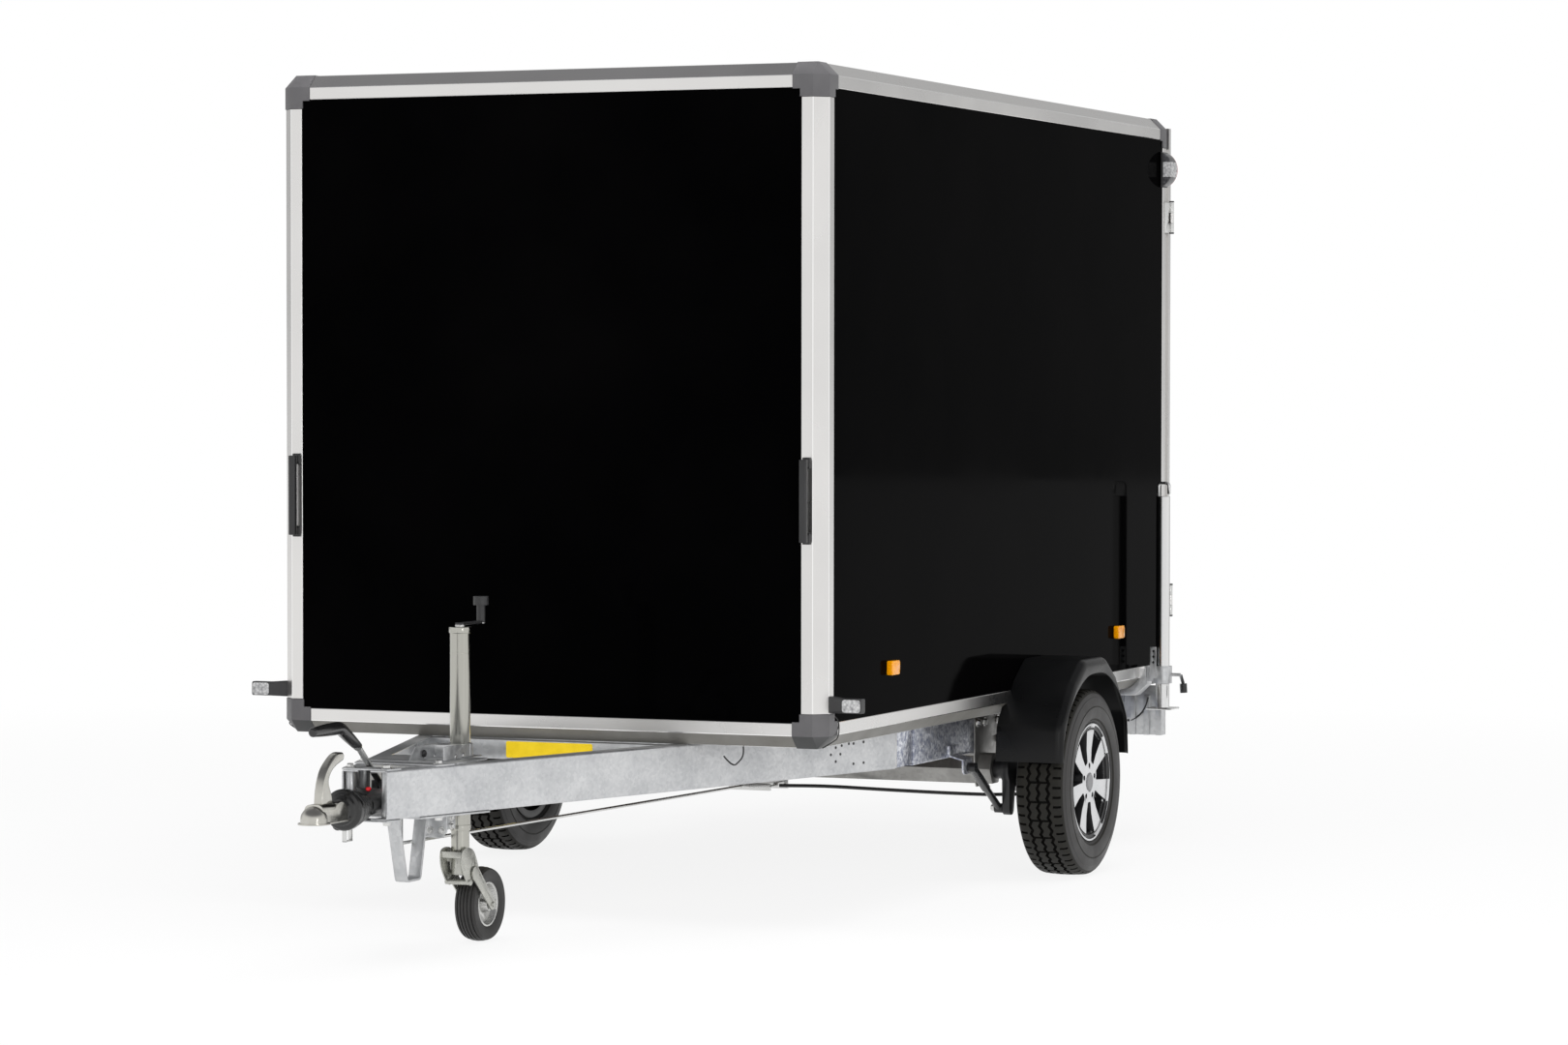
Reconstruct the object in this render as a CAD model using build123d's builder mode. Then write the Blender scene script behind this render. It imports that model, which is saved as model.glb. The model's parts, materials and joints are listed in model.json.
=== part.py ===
from build123d import *
from math import atan, cos, radians, sin
import os

# Single-axle box trailer, in millimetres. +X points forward to the coupling, +Y to the trailer's
# left, +Z up. The origin is on the ground below the middle of the whole trailer.

# Box body
box_length = 3346.0
box_width = 1845.0
box_height = 2060.0
box_floor = 556.0  # underside of the box above the ground
coupling_reach = 1534.0  # tip of the coupling ahead of the box's front face

# Corner extrusion, the same along every edge of the box
rail_chamfer = 38.0  # leg of the 45 degree outer face
rail_flange = 38.0  # flat beside it
rail_skin = 3.0  # wall over the panel
rail_lip = 3.0  # inner lip behind the panel
lip_reach = 70.0
panel_inset = 44.0  # panel's edge in from the outer faces
panel_thick = 18.0

# Corner caps
cap_reach = 104.0
cap_arm = 80.0
cap_proud = 2.0

# Doors
door_gap = 7.0  # frame face to the door
door_thick = 24.0
door_margin = 30.0  # door's top and bottom edges in from the box's
door_side = 4.0  # door's outer edge in from the box's side
door_meeting = 6.0  # gap between the two doors
door_edge = 40.0  # width of the door's frame profile
hinge_pin_r = 5.0
hinge_knuckle_r = 8.5
hinge_height = 110.0
hinge_clear = 0.05
hinge_low = 304.0  # lower hinge's centre above the box's underside
hinge_high = 357.0  # upper hinge's centre below the box's top
lock_bar_r = 11.0
lock_bar_y = 110.0
lock_bar_stand = 20.0  # bar's axis off the door's face

# Road wheels
axle_back = 1898.0  # wheel centre behind the box's front face
axle_height = 314.0
wheel_out = 119.5  # wheel's middle plane outside the box's side
tyre_r = 314.0
tyre_half = 94.0
rim_half = 80.0
rim_lip_r = 197.5
rim_seat_r = 178.0
rim_drop_r = 150.0
rim_wall = 5.0
spoke_count = 7
window_in = 68.0  # inner end of a window between two spokes
stud_count = 5
stud_circle = 112.0
stud_hole_r = 8.5
hub_bore = 31.5
stub_r = 17.5
running = 0.05  # radial clearance of a running fit
drum_r = 120.0

# Torsion axle
beam_back = 1770.0
beam_height = 360.0
beam_in = 216.0  # beam's end in from the wheel's middle plane
arm_in = 182.0  # and the swing arm's inner face
beam_across = 100.0
arm_thick = 28.0

# Chassis
member_height = 140.0
member_sheet = 4.0
member_flange = 50.0
member_bend = 7.0
plate_sheet = 6.0
member_in = 150.5  # side member's outer face in from the box's side
joint_back = 994.0  # drawbar beams turn parallel here
member_front = 1141.0  # side members start here, behind the box's front face
beam_tail = 60.0  # beam's length inside the side member
nose_back = 344.0  # drawbar's nose behind the coupling's tip
nose_y = 72.0
cross_backs = (1230.0, 1480.0, 2330.0, 2900.0)
cross_width = 40.0
cross_height = 60.0
board_in = 46.0  # lamp board ahead of the box's rear face
board_bottom = 366.0
board_side = 4.5  # lamp board's end in from the box's side
board_rib = 22.0

# Overrun coupling
coupling_z = 455.0
housing_r = 28.0
ball_r = 25.0
socket_clear = 0.25
ball_back = 45.0  # ball centre behind the coupling's tip
head_half = 34.0
head_low = 26.0  # head's lower edge below the shaft
head_high = 29.0  # and its top above it
head_sheet = 4.0
head_length = 189.0
dome_r = 38.0
gaiter_length = 155.0
gaiter_r = 59.0
shank_r = 22.0
lever_y = -20.0
lever_half = 14.0
linkage_y = -30.0  # brake rod

# Jockey wheel
jockey_back = 528.0  # jockey tube behind the drawbar's nose
jockey_y = 38.0
jockey_tube_r = 30.0
jockey_inner_r = 27.0
jockey_tube_wall = 2.6
jockey_tube_top = 931.0
jockey_tube_bottom = 340.0
jockey_trail = 130.0
jockey_wheel_r = 110.5
jockey_wheel_half = 32.5
jockey_rim_r = 67.0
jockey_fork_top = 279.0
cheek_gap = 5.0  # cheek off the inner tube
fork_gap = 5.5
fork_sheet = 4.0
fork_pin_r = 8.0

# Prop stands
prop_in = 301.0  # stand ahead of the box's rear face
prop_out = 78.5  # and outside its side
prop_r = 25.0
prop_wall = 3.0
prop_top = 1248.0
prop_foot_z = 481.0
prop_clear = 0.3
prop_clamp_low = 19.0  # clamp above the box's underside
prop_clamp_high = 81.0

# Mudguards
guard_half = 359.0
guard_bottom = 386.0  # foot behind the wheel
guard_front = 404.0  # foot ahead of it
guard_in = 14.0  # inner wall's lower part in from the box's side
guard_top = 732.0
guard_cover = 98.0  # outer edge outside the wheel's middle plane
guard_sheet = 3.0
guard_band = 45.0
guard_round = 28.0

# Worked out from these
tail_reach = box_length + door_gap + door_thick + lock_bar_stand + lock_bar_r
box_front = (tail_reach - coupling_reach) / 2
box_rear = box_front - box_length
box_half = box_width / 2
box_top = box_floor + box_height
box_mid = box_front - box_length / 2
chassis_bottom = box_floor - member_height
axle_x = box_front - axle_back
track_half = box_half + wheel_out
beam_half = track_half - beam_in
member_y = box_half - member_in
joint_y = member_y - member_sheet
board_x = box_rear + board_in
board_half = box_half - board_side
guard_outer = track_half + guard_cover
inner_skin = rail_skin + panel_thick + rail_lip
door_face = box_rear - door_gap
door_back = door_face - door_thick
hinge_x = box_rear - door_gap / 2
hinge_y = box_half + hinge_knuckle_r
nose_ahead = coupling_reach - nose_back
nose_x = box_front + nose_ahead
beam_x = box_front - beam_back
jockey_x = nose_x - jockey_back
prop_x, prop_y = box_rear + prop_in, box_half + prop_out
hinge_levels = (box_floor + hinge_low, box_top - hinge_high)

left_right = Plane.XZ
front_rear = Plane.YZ.offset(box_mid)
top_bottom = Plane.XY.offset(box_floor + box_height / 2)


def block(x, y, z, mode=Mode.ADD):
    """A box between two values on each axis."""
    with Locations(((x[0] + x[1]) / 2, (y[0] + y[1]) / 2, (z[0] + z[1]) / 2)):
        Box(abs(x[1] - x[0]), abs(y[1] - y[0]), abs(z[1] - z[0]), mode=mode)


def rod(start, end, radius, mode=Mode.ADD):
    """A straight round bar from one point to another."""
    axis = Vector(*end) - Vector(*start)
    with Locations(Plane(origin=start, z_dir=axis)):
        Cylinder(radius, axis.length, align=(Align.CENTER, Align.CENTER, Align.MIN), mode=mode)


def rail_outline(open_slots=2):
    """Section of the corner extrusion: chamfered outside, a slot for the panel on each side."""
    slot_end = rail_skin + panel_thick
    wide = rail_chamfer + rail_flange
    first = [(0, wide), (0, rail_chamfer), (rail_chamfer, 0), (wide, 0)]
    slot = [(wide, rail_skin), (panel_inset, rail_skin), (panel_inset, slot_end), (lip_reach, slot_end)]
    inner = [(lip_reach, inner_skin), (inner_skin, inner_skin)]
    if open_slots == 2:
        last = [(inner_skin, lip_reach), (slot_end, lip_reach), (slot_end, panel_inset)]
        last += [(rail_skin, panel_inset), (rail_skin, wide)]
    else:
        last = [(inner_skin, wide)]
    return first + slot + inner + last


# ---------------------------------------------------------------- box body

with BuildPart() as front_panel:
    block(
        (box_front - rail_skin - panel_thick, box_front - rail_skin),
        (panel_inset - box_half, box_half - panel_inset),
        (box_floor + panel_inset, box_top - panel_inset),
    )

with BuildPart() as left_panel:
    block(
        (box_rear + panel_inset, box_front - panel_inset),
        (box_half - rail_skin - panel_thick, box_half - rail_skin),
        (box_floor + panel_inset, box_top - panel_inset),
    )

with BuildPart() as right_panel:
    mirror(left_panel.part, about=left_right)

with BuildPart() as roof_panel:
    block(
        (box_rear + panel_inset, box_front - panel_inset),
        (panel_inset - box_half, box_half - panel_inset),
        (box_top - rail_skin - panel_thick, box_top - rail_skin),
    )

with BuildPart() as floor_panel:
    block(
        (box_rear + panel_inset, box_front - panel_inset),
        (panel_inset - box_half, box_half - panel_inset),
        (box_floor + rail_skin, box_floor + rail_skin + panel_thick),
    )

post_length = box_height - 2 * cap_reach
with BuildPart() as front_posts:
    corner = (box_front, box_half, box_floor + cap_reach)
    with BuildSketch(Plane(origin=corner, x_dir=(-1, 0, 0), z_dir=(0, 0, 1))):
        Polygon(*rail_outline(), align=None)
    extrude(amount=post_length)
    mirror(about=left_right)

with BuildPart() as rear_posts:
    corner = (box_rear, box_half, box_floor + cap_reach)
    with BuildSketch(Plane(origin=corner, x_dir=(1, 0, 0), z_dir=(0, 0, -1))):
        Polygon(*rail_outline(1), align=None)
    extrude(amount=-post_length)
    mirror(about=left_right)

side_length = box_length - 2 * cap_reach
end_length = box_width - 2 * cap_reach
with BuildPart() as top_rails:
    corner = (box_front - cap_reach, box_half, box_top)
    with BuildSketch(Plane(origin=corner, x_dir=(0, 0, -1), z_dir=(-1, 0, 0))):
        Polygon(*rail_outline(), align=None)
    extrude(amount=side_length)
    mirror(about=left_right)
    corner = (box_front, box_half - cap_reach, box_top)
    with BuildSketch(Plane(origin=corner, x_dir=(-1, 0, 0), z_dir=(0, -1, 0))):
        Polygon(*rail_outline(), align=None)
    extrude(amount=end_length)
    corner = (box_rear, box_half - cap_reach, box_top)
    with BuildSketch(Plane(origin=corner, x_dir=(1, 0, 0), z_dir=(0, 1, 0))):
        Polygon(*rail_outline(1), align=None)
    extrude(amount=-end_length)

with BuildPart() as bottom_rails:
    mirror(top_rails.part, about=top_bottom)

with BuildPart() as corner_caps:
    reach = cap_reach + cap_proud
    with Locations((box_front + cap_proud, box_half + cap_proud, box_floor - cap_proud)):
        Box(reach, reach, reach, align=(Align.MAX, Align.MAX, Align.MIN))
    cap_leg = rail_chamfer + cap_proud * (2 - 2**0.5)
    outer = corner_caps.edges().filter_by(Axis.Z).sort_by(Axis.X)[-2:].sort_by(Axis.Y)[-1:]
    outer += corner_caps.edges().filter_by(Axis.X).group_by(Axis.Z)[0].sort_by(Axis.Y)[-1:]
    outer += corner_caps.edges().filter_by(Axis.Y).group_by(Axis.Z)[0].sort_by(Axis.X)[-1:]
    chamfer(outer, length=cap_leg)

    def hollow(u, v, w):
        """Cuts a block given as distances in from the corner's front, side and bottom faces."""
        block(
            (box_front - u[1], box_front - u[0]),
            (box_half - v[1], box_half - v[0]),
            (box_floor + w[0], box_floor + w[1]),
            Mode.SUBTRACT,
        )

    far = reach + 1
    slot = (rail_skin, rail_skin + panel_thick)
    hollow((inner_skin, far), (inner_skin, far), (inner_skin, far))
    hollow((-far, far), (cap_arm, far), (cap_arm, far))
    hollow((cap_arm, far), (-far, far), (cap_arm, far))
    hollow((cap_arm, far), (cap_arm, far), (-far, far))
    hollow(slot, (panel_inset, far), (panel_inset, far))
    hollow((panel_inset, far), slot, (panel_inset, far))
    hollow((panel_inset, far), (panel_inset, far), slot)
    mirror(about=left_right)
    mirror(about=front_rear)
    mirror(about=top_bottom)

with BuildPart() as grab_handles:
    handle_y = box_half - rail_chamfer - rail_flange / 2
    handle_low, handle_high = box_floor + 615.0, box_floor + 876.0
    for level in (handle_low + 17, handle_high - 17):
        block((box_front, box_front + 8), (handle_y - 12, handle_y + 12), (level - 17, level + 17))
        block((box_front, box_front + 38), (handle_y - 9, handle_y + 9), (level - 11, level + 11))
    block((box_front + 22, box_front + 38), (handle_y - 12, handle_y + 12), (handle_low + 6, handle_high - 6))
    fillet(grab_handles.edges().filter_by(Axis.Z).group_by(Axis.X)[-1], radius=6)
    mirror(about=left_right)

# ---------------------------------------------------------------- doors

door_low, door_high = box_floor + door_margin, box_top - door_margin
door_out, door_in = box_half - door_side, door_meeting / 2

with BuildPart() as door_frame_left:
    block((door_back, door_face), (door_in, door_out), (door_low, door_high))
    block(
        (door_back - 1, door_face + 1),
        (door_in + door_edge, door_out - door_edge),
        (door_low + door_edge, door_high - door_edge),
        Mode.SUBTRACT,
    )
    third = hinge_height / 3
    for level in hinge_levels:
        low, high = level - third / 2 + 0.5, level + third / 2 - 0.5
        rod((hinge_x, hinge_y, low), (hinge_x, hinge_y, high), hinge_knuckle_r)
        block((door_back + 3, hinge_x), (door_out, hinge_y - 3), (low, high))
        rod((hinge_x, hinge_y, low - 1), (hinge_x, hinge_y, high + 1), hinge_pin_r + hinge_clear, Mode.SUBTRACT)

with BuildPart() as door_panel_left:
    block(
        (door_back + rail_skin, door_face - rail_skin),
        (door_in + door_edge, door_out - door_edge),
        (door_low + door_edge, door_high - door_edge),
    )

with BuildPart() as door_fixings:
    for level in hinge_levels:
        bottom, top = level - hinge_height / 2, level + hinge_height / 2
        rod((hinge_x, hinge_y, bottom), (hinge_x, hinge_y, top), hinge_pin_r)
        for low, high in ((bottom, bottom + third), (top - third, top)):
            rod((hinge_x, hinge_y, low), (hinge_x, hinge_y, high), hinge_knuckle_r)
            block((hinge_x, box_rear + 62), (box_half, box_half + 4), (low, high))
        block((box_rear + 12, box_rear + 62), (box_half, box_half + 4), (bottom, top))
    for face, way in ((box_floor, 1), (box_top, -1)):
        with BuildSketch(Plane.XZ.offset(-lock_bar_y + 22)):
            near, far = 3, door_margin - 5
            Polygon(
                (box_rear + rail_chamfer - near, face + way * near), (box_rear + rail_chamfer - far, face + way * far),
                (door_back + 2, face + way * far), (door_back + 2, face + way * near), align=None,
            )
        extrude(amount=-44)
    mirror(about=left_right)

with BuildPart() as lock_bar_left:
    bar_x = door_back - lock_bar_stand
    rod((bar_x, lock_bar_y, door_low - 20), (bar_x, lock_bar_y, door_high + 20), lock_bar_r)
    handle_z = door_low + 490
    for level in (door_low + 60, handle_z + 100, (handle_z + door_high) / 2, door_high - 60):
        block((bar_x - 6, door_back + rail_skin), (lock_bar_y - 24, lock_bar_y + 24), (level - 16, level + 16))
    block((bar_x - 8, bar_x + 6), (lock_bar_y - 14, lock_bar_y + 290), (handle_z - 12, handle_z + 12))
    block((bar_x + 6, door_back + rail_skin), (lock_bar_y + 240, lock_bar_y + 280), (handle_z - 22, handle_z + 22))

# ---------------------------------------------------------------- chassis

beam_slope = (joint_y - nose_y) / (nose_ahead + joint_back)
beam_skew = 1 / cos(atan(beam_slope))
joint_x = box_front - joint_back


def beam_face(ahead):
    """Outer face of a drawbar beam at a place ahead of the box's front face."""
    return nose_y + (nose_ahead - ahead) * beam_slope


def beam_strip(width):
    """Plan of the drawbar beam from its outer face inwards."""
    skewed = width * beam_skew
    return [(nose_x, nose_y), (joint_x, joint_y), (joint_x, joint_y - skewed), (nose_x, nose_y - skewed)]


with BuildPart() as drawbar_beams:
    for low, height, width in (
        (chassis_bottom, member_sheet, member_flange),
        (chassis_bottom, member_height, member_sheet),
        (box_floor - member_sheet, member_sheet, member_flange),
    ):
        with BuildSketch(Plane.XY.offset(low)):
            Polygon(*beam_strip(width), align=None)
        extrude(amount=height)
    beam_middle = (nose_y + joint_y) / 2
    bends = drawbar_beams.edges().filter_by(lambda e: e.length > nose_ahead and abs(e.center().Y - beam_middle) < 1)
    fillet(bends, radius=member_bend)
    tail_x = box_front - member_front - beam_tail
    low, high = chassis_bottom + member_sheet, box_floor - member_sheet
    block((tail_x, joint_x), (joint_y - member_sheet, joint_y), (low, high))
    for level in (low, high - member_sheet):
        block((tail_x, joint_x + 10), (joint_y - member_flange, joint_y - 0.9 * member_sheet), (level, level + member_sheet))
    mirror(about=left_right)

shock_y = track_half - arm_in - 18
shock_top = (beam_x + 270, shock_y, chassis_bottom - 32)
with BuildPart() as side_members:
    for depth, low, high in (
        (member_flange, chassis_bottom, chassis_bottom + member_sheet),
        (member_sheet, chassis_bottom, box_floor),
        (member_flange, box_floor - member_sheet, box_floor),
    ):
        block((board_x, box_front - member_front), (member_y - depth, member_y), (low, high))
    bends = side_members.edges().filter_by(Axis.X).group_by(Axis.Y)[-1]
    fillet(bends.group_by(Axis.Z)[0] + bends.group_by(Axis.Z)[-1], radius=member_bend)
    tongue_out, tongue_low = shock_y - 16, shock_top[2] - 22
    with BuildSketch(Plane.YZ.offset(shock_top[0] - 42)):
        Polygon(
            (member_y, chassis_bottom + 40), (member_y + 6, chassis_bottom + 40), (member_y + 6, chassis_bottom + 10),
            (tongue_out, chassis_bottom - 4), (tongue_out, tongue_low), (tongue_out - 6, tongue_low),
            (tongue_out - 6, chassis_bottom - 8), (member_y, chassis_bottom + 5), align=None,
        )
    extrude(amount=84)
    fillet(side_members.edges().filter_by(Axis.Y).group_by(Axis.Z)[0], radius=20)
    mirror(about=left_right)

cross_top = box_floor - member_sheet
with BuildPart() as cross_members:
    for back in cross_backs:
        x = box_front - back
        y = member_y - member_sheet
        block((x - cross_width / 2, x + cross_width / 2), (-y, y), (cross_top - cross_height, cross_top))
    for back in (20.0, 560.0):
        y = beam_face(-back) - member_sheet * beam_skew - 1.5
        x = box_front - back
        block((x - 8, x), (-y, y), (cross_top - cross_height, cross_top))
        block((x - 34, x - 8), (-y, y), (cross_top - member_sheet, cross_top))

with BuildPart() as rear_lamp_board:
    block((board_x - 4, board_x), (-board_half, board_half), (board_bottom, box_floor - 8))
    inner_half = box_half - cap_reach - 4
    block((board_x - 4, board_x), (-inner_half, inner_half), (box_floor - 8, box_floor))
    block((board_x - 40, board_x), (-board_half, board_half), (board_bottom, board_bottom + 4))
    for edge in (board_half, -board_half + 4):
        block((board_x - 40, board_x), (edge - 4, edge), (board_bottom, box_floor - 44))
    for inner in (22.0, 68.0, 122.0):
        for side in (inner - board_half, board_half - inner + board_rib):
            block((board_x - 1, board_x + 12), (side - board_rib, side), (board_bottom, box_floor - 44))

with BuildPart() as head_plates:
    for low, second in (
        (box_floor, (nose_ahead - 190, nose_ahead - 260)),
        (chassis_bottom - plate_sheet, (nose_ahead - 130, nose_ahead - 400)),
    ):
        for front, rear in ((nose_ahead, nose_ahead - 55), second):
            with BuildSketch(Plane.XY.offset(low)):
                a, b = beam_face(front), beam_face(rear)
                xf, xr = box_front + front, box_front + rear
                Polygon((xf, -a), (xf, a), (xr, b), (xr, -b), align=None)
            extrude(amount=plate_sheet)
    block(
        (nose_x - 300, nose_x - 270), (linkage_y - 12, linkage_y + 6),
        (chassis_bottom - plate_sheet, chassis_bottom), Mode.SUBTRACT,
    )
    for back in (nose_ahead - 25, nose_ahead - 225):
        y = beam_face(back) - 22
        for side in (-y, y):
            x = box_front + back
            rod((x, side, chassis_bottom + member_sheet), (x, side, box_floor - member_sheet), 14)

gaiter_x = box_front + coupling_reach - head_length
with BuildPart() as overrun_housing:
    front, rear = gaiter_x - gaiter_length, nose_x - 490
    rod((rear, 0, coupling_z), (front, 0, coupling_z), housing_r)
    for ahead in (nose_ahead - 90, nose_ahead - 330):
        x = box_front + ahead
        y = beam_face(ahead) - 26
        block((x - 12, x), (-y, y), (chassis_bottom + member_sheet, coupling_z + 42))
    block((nose_x - 240, nose_x - 110), (-10, 12), (coupling_z + 20, coupling_z + 62))

with BuildPart() as overrun_gaiter:
    with BuildSketch(Plane(origin=(gaiter_x, 0, coupling_z), x_dir=(-1, 0, 0), z_dir=(0, 1, 0))) as gaiter_section:
        with BuildLine():
            Polyline(
                (0, shank_r), (0, 31), (9, 34), (12, 43), (20, 46), (23, 55), (28, gaiter_r), (44, gaiter_r),
                (49, 54), (53, 48), (59, 54), (68, 54), (74, 45), (80, 49), (89, 49), (95, 41), (101, 45), (110, 45),
                (116, 36), (122, 40), (131, 40), (138, 31), (gaiter_length, 31), (gaiter_length, shank_r), close=True,
            )
        make_face()
    revolve(axis=Axis((gaiter_x, 0, coupling_z), (1, 0, 0)))
    with BuildSketch(Plane.YZ.offset(gaiter_x - 40)):
        with Locations((-19, coupling_z - gaiter_r + 26)):
            SlotOverall(52, 36, rotation=90)
    extrude(amount=10)
    rod((gaiter_x - 45, 0, coupling_z), (gaiter_x - 20, 0, coupling_z), shank_r, Mode.SUBTRACT)

tip_x = box_front + coupling_reach
ball_x = tip_x - ball_back
ball_z = coupling_z - 13
with BuildPart() as coupling_head:
    head_rear, head_bottom, head_top = gaiter_x, coupling_z - head_low, coupling_z + head_high
    with BuildSketch(Plane.XZ):
        with BuildLine():
            Polyline((head_rear, head_bottom + 30), (head_rear, head_bottom), (ball_x, head_bottom), (ball_x, head_top))
            Line((ball_x, head_top), (head_rear + 45, head_top))
            RadiusArc((head_rear + 45, head_top), (head_rear, head_bottom + 30), -45)
        make_face()
    extrude(amount=head_half - head_sheet, both=True)
    crown = coupling_head.edges().filter_by(Axis.X).group_by(Axis.Z)[-1]
    fillet(crown, radius=0.6 * (head_half - head_sheet))
    rod((ball_x, 0, head_bottom), (ball_x, 0, ball_z), dome_r)
    with Locations((ball_x, 0, ball_z)):
        Sphere(dome_r, arc_size1=0, align=(Align.CENTER, Align.CENTER, Align.MIN))
    with BuildSketch(Plane.XY.offset(head_bottom)):
        with Locations((ball_x, 0)):
            Circle(ball_back)
        with Locations(((ball_x + head_rear) / 2, 0)):
            Rectangle(ball_x - head_rear, 2 * head_half + 4)
    extrude(amount=head_sheet)
    rod((head_rear - gaiter_length, 0, coupling_z), (head_rear + 10, 0, coupling_z), shank_r)
    with Locations((ball_x, 0, ball_z)):
        Sphere(ball_r + socket_clear, mode=Mode.SUBTRACT)
    rod((ball_x, 0, head_bottom - 1), (ball_x, 0, ball_z), ball_r + socket_clear, Mode.SUBTRACT)

with BuildPart() as coupling_lever:
    back = [(26, 55), (36, 90), (52, 119), (84, 145), (117, 162), (141, 165)]
    palm = [(149, 142), (124, 135), (94, 123), (74, 107), (65, 90), (71, 70), (83, 45)]
    back = [(ball_x - a, coupling_z + h) for a, h in back]
    palm = [(ball_x - a, coupling_z + h) for a, h in palm]
    foot, heel = (ball_x - 23, head_top), (ball_x - 87, head_top)
    with BuildSketch(Plane.XZ):
        with BuildLine():
            Line(foot, back[0])
            Spline(*back)
            ThreePointArc(back[-1], (ball_x - 155, coupling_z + 155), palm[0])
            Spline(*palm)
            Polyline(palm[-1], heel, foot)
        make_face()
    extrude(amount=lever_half, both=True)
    rims = coupling_lever.faces().sort_by(Axis.Y)
    fillet((rims[0].edges() + rims[-1].edges()).filter_by(lambda e: e.center().Z > head_top + 1), radius=5)

with BuildPart() as handbrake_lever:
    tip, bend, throat = [(nose_x + a, lever_y, coupling_z + h) for a, h in ((273, 227), (110, 229), (0, 168))]
    with BuildLine() as grip_path:
        FilletPolyline(tip, bend, throat, radius=60)
    for share, grip_r in ((0, 13), (0.35, 18), (1, 13)):
        with BuildSketch(Plane(origin=grip_path.line @ share, z_dir=grip_path.line % share)):
            Circle(grip_r)
    sweep(multisection=True)
    fillet(handbrake_lever.faces().sort_by(Axis.X)[-1].edges(), radius=8)
    pivot = (nose_x - 148, lever_y, coupling_z + 41)
    rod(throat, pivot, 9)
    x, y, z = pivot
    rod((x, y - 9, z), (x, y + 7, z), 14)
    rod((x, y, z), (x, -10, z), 7)

hoop_width, hoop_sheet, hoop_drop = 40.0, 8.0, 187.0
with BuildPart() as support_hoop:
    hoop_foot = chassis_bottom - plate_sheet
    with BuildSketch(Plane.XZ):
        low = hoop_foot - hoop_sheet / 2
        with BuildLine():
            FilletPolyline(
                (nose_x - 138, low), (nose_x - 176, low), (nose_x - 228, low - hoop_drop),
                (nose_x - 310, low - hoop_drop), (nose_x - 354, low), (nose_x - 392, low), radius=12,
            )
        trace(line_width=hoop_sheet)
    extrude(amount=hoop_width / 2, both=True)
    with BuildSketch(Plane.YZ.offset(nose_x - 392)):
        Polygon(
            (-16, hoop_foot), (62, hoop_foot), (62, hoop_foot - 62), (48, hoop_foot - 80), (-4, hoop_foot - 80),
            (-16, hoop_foot - 64), align=None,
        )
    extrude(amount=-plate_sheet)
    block((nose_x - 450, nose_x - 397), (56, 62), (hoop_foot - 56, hoop_foot - 12))

jockey_axis = (jockey_x, jockey_y)
bracket_top = box_floor + 45.0
clamp_half = 43.0

with BuildPart() as jockey_clamp:
    base_top = box_floor + 5
    base_front = jockey_x + 243
    block((jockey_x - 40, base_front), (jockey_y - 52, jockey_y + 52), (box_floor, base_top))
    wide = beam_face(base_front - box_front) - 12
    block((jockey_x + 48, base_front), (-wide, wide), (box_floor, base_top))
    with BuildSketch(Plane.XZ.offset(-(jockey_y - clamp_half))):
        Polygon(
            (base_front, box_floor), (base_front - 43, bracket_top), (jockey_x + 51, bracket_top),
            (jockey_x + 95, box_floor), align=None,
        )
        with Locations((jockey_x + 150, box_floor + 20)):
            Circle(11, mode=Mode.SUBTRACT)
    extrude(amount=4)
    with BuildSketch(Plane.XZ.offset(-(jockey_y + clamp_half))):
        Polygon(
            (jockey_x + 196, box_floor), (jockey_x + 196, bracket_top), (jockey_x + 88, bracket_top),
            (jockey_x + 76, bracket_top - 12), (jockey_x + 76, box_floor), align=None,
        )
    extrude(amount=-4)
    block((jockey_x + 24, jockey_x + 80), (jockey_y - clamp_half - 4, jockey_y + clamp_half), (base_top - 1, bracket_top - 4))
    rod((*jockey_axis, base_top - 1), (*jockey_axis, bracket_top - 4), jockey_tube_r + 7)
    rod((*jockey_axis, box_floor - 1), (*jockey_axis, bracket_top + 1), jockey_tube_r, Mode.SUBTRACT)

with BuildPart() as jockey_outer_tube:
    rod((*jockey_axis, jockey_tube_bottom), (*jockey_axis, jockey_tube_top), jockey_tube_r)
    rod((*jockey_axis, jockey_tube_top - 10), (*jockey_axis, jockey_tube_top + 8), jockey_tube_r + 3)
    bore = jockey_tube_r - jockey_tube_wall
    rod((*jockey_axis, jockey_tube_bottom - 1), (*jockey_axis, jockey_tube_top - 12), bore, Mode.SUBTRACT)

with BuildPart() as jockey_crank:
    crank_z = jockey_tube_top + 8
    rod((*jockey_axis, crank_z), (*jockey_axis, crank_z + 12), 14)
    block((jockey_x - 138, jockey_x + 14), (jockey_y - 9, jockey_y + 9), (crank_z + 4, crank_z + 12))
    rod((jockey_x - 138, jockey_y, crank_z + 4), (jockey_x - 138, jockey_y, crank_z + 58), 13)
    rod((jockey_x - 138, jockey_y, crank_z + 58), (jockey_x - 138, jockey_y, crank_z + 84), 23)

fork_top = jockey_fork_top
cheek_inner = jockey_inner_r + cheek_gap
fork_inner = jockey_wheel_half + fork_gap
wheel_x = jockey_x - jockey_trail

with BuildPart() as jockey_inner_tube:
    rod((*jockey_axis, fork_top), (*jockey_axis, jockey_tube_top - 130), jockey_inner_r)
    rod((*jockey_axis, fork_top - 1), (*jockey_axis, jockey_tube_top - 140), jockey_inner_r - 3, Mode.SUBTRACT)

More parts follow.
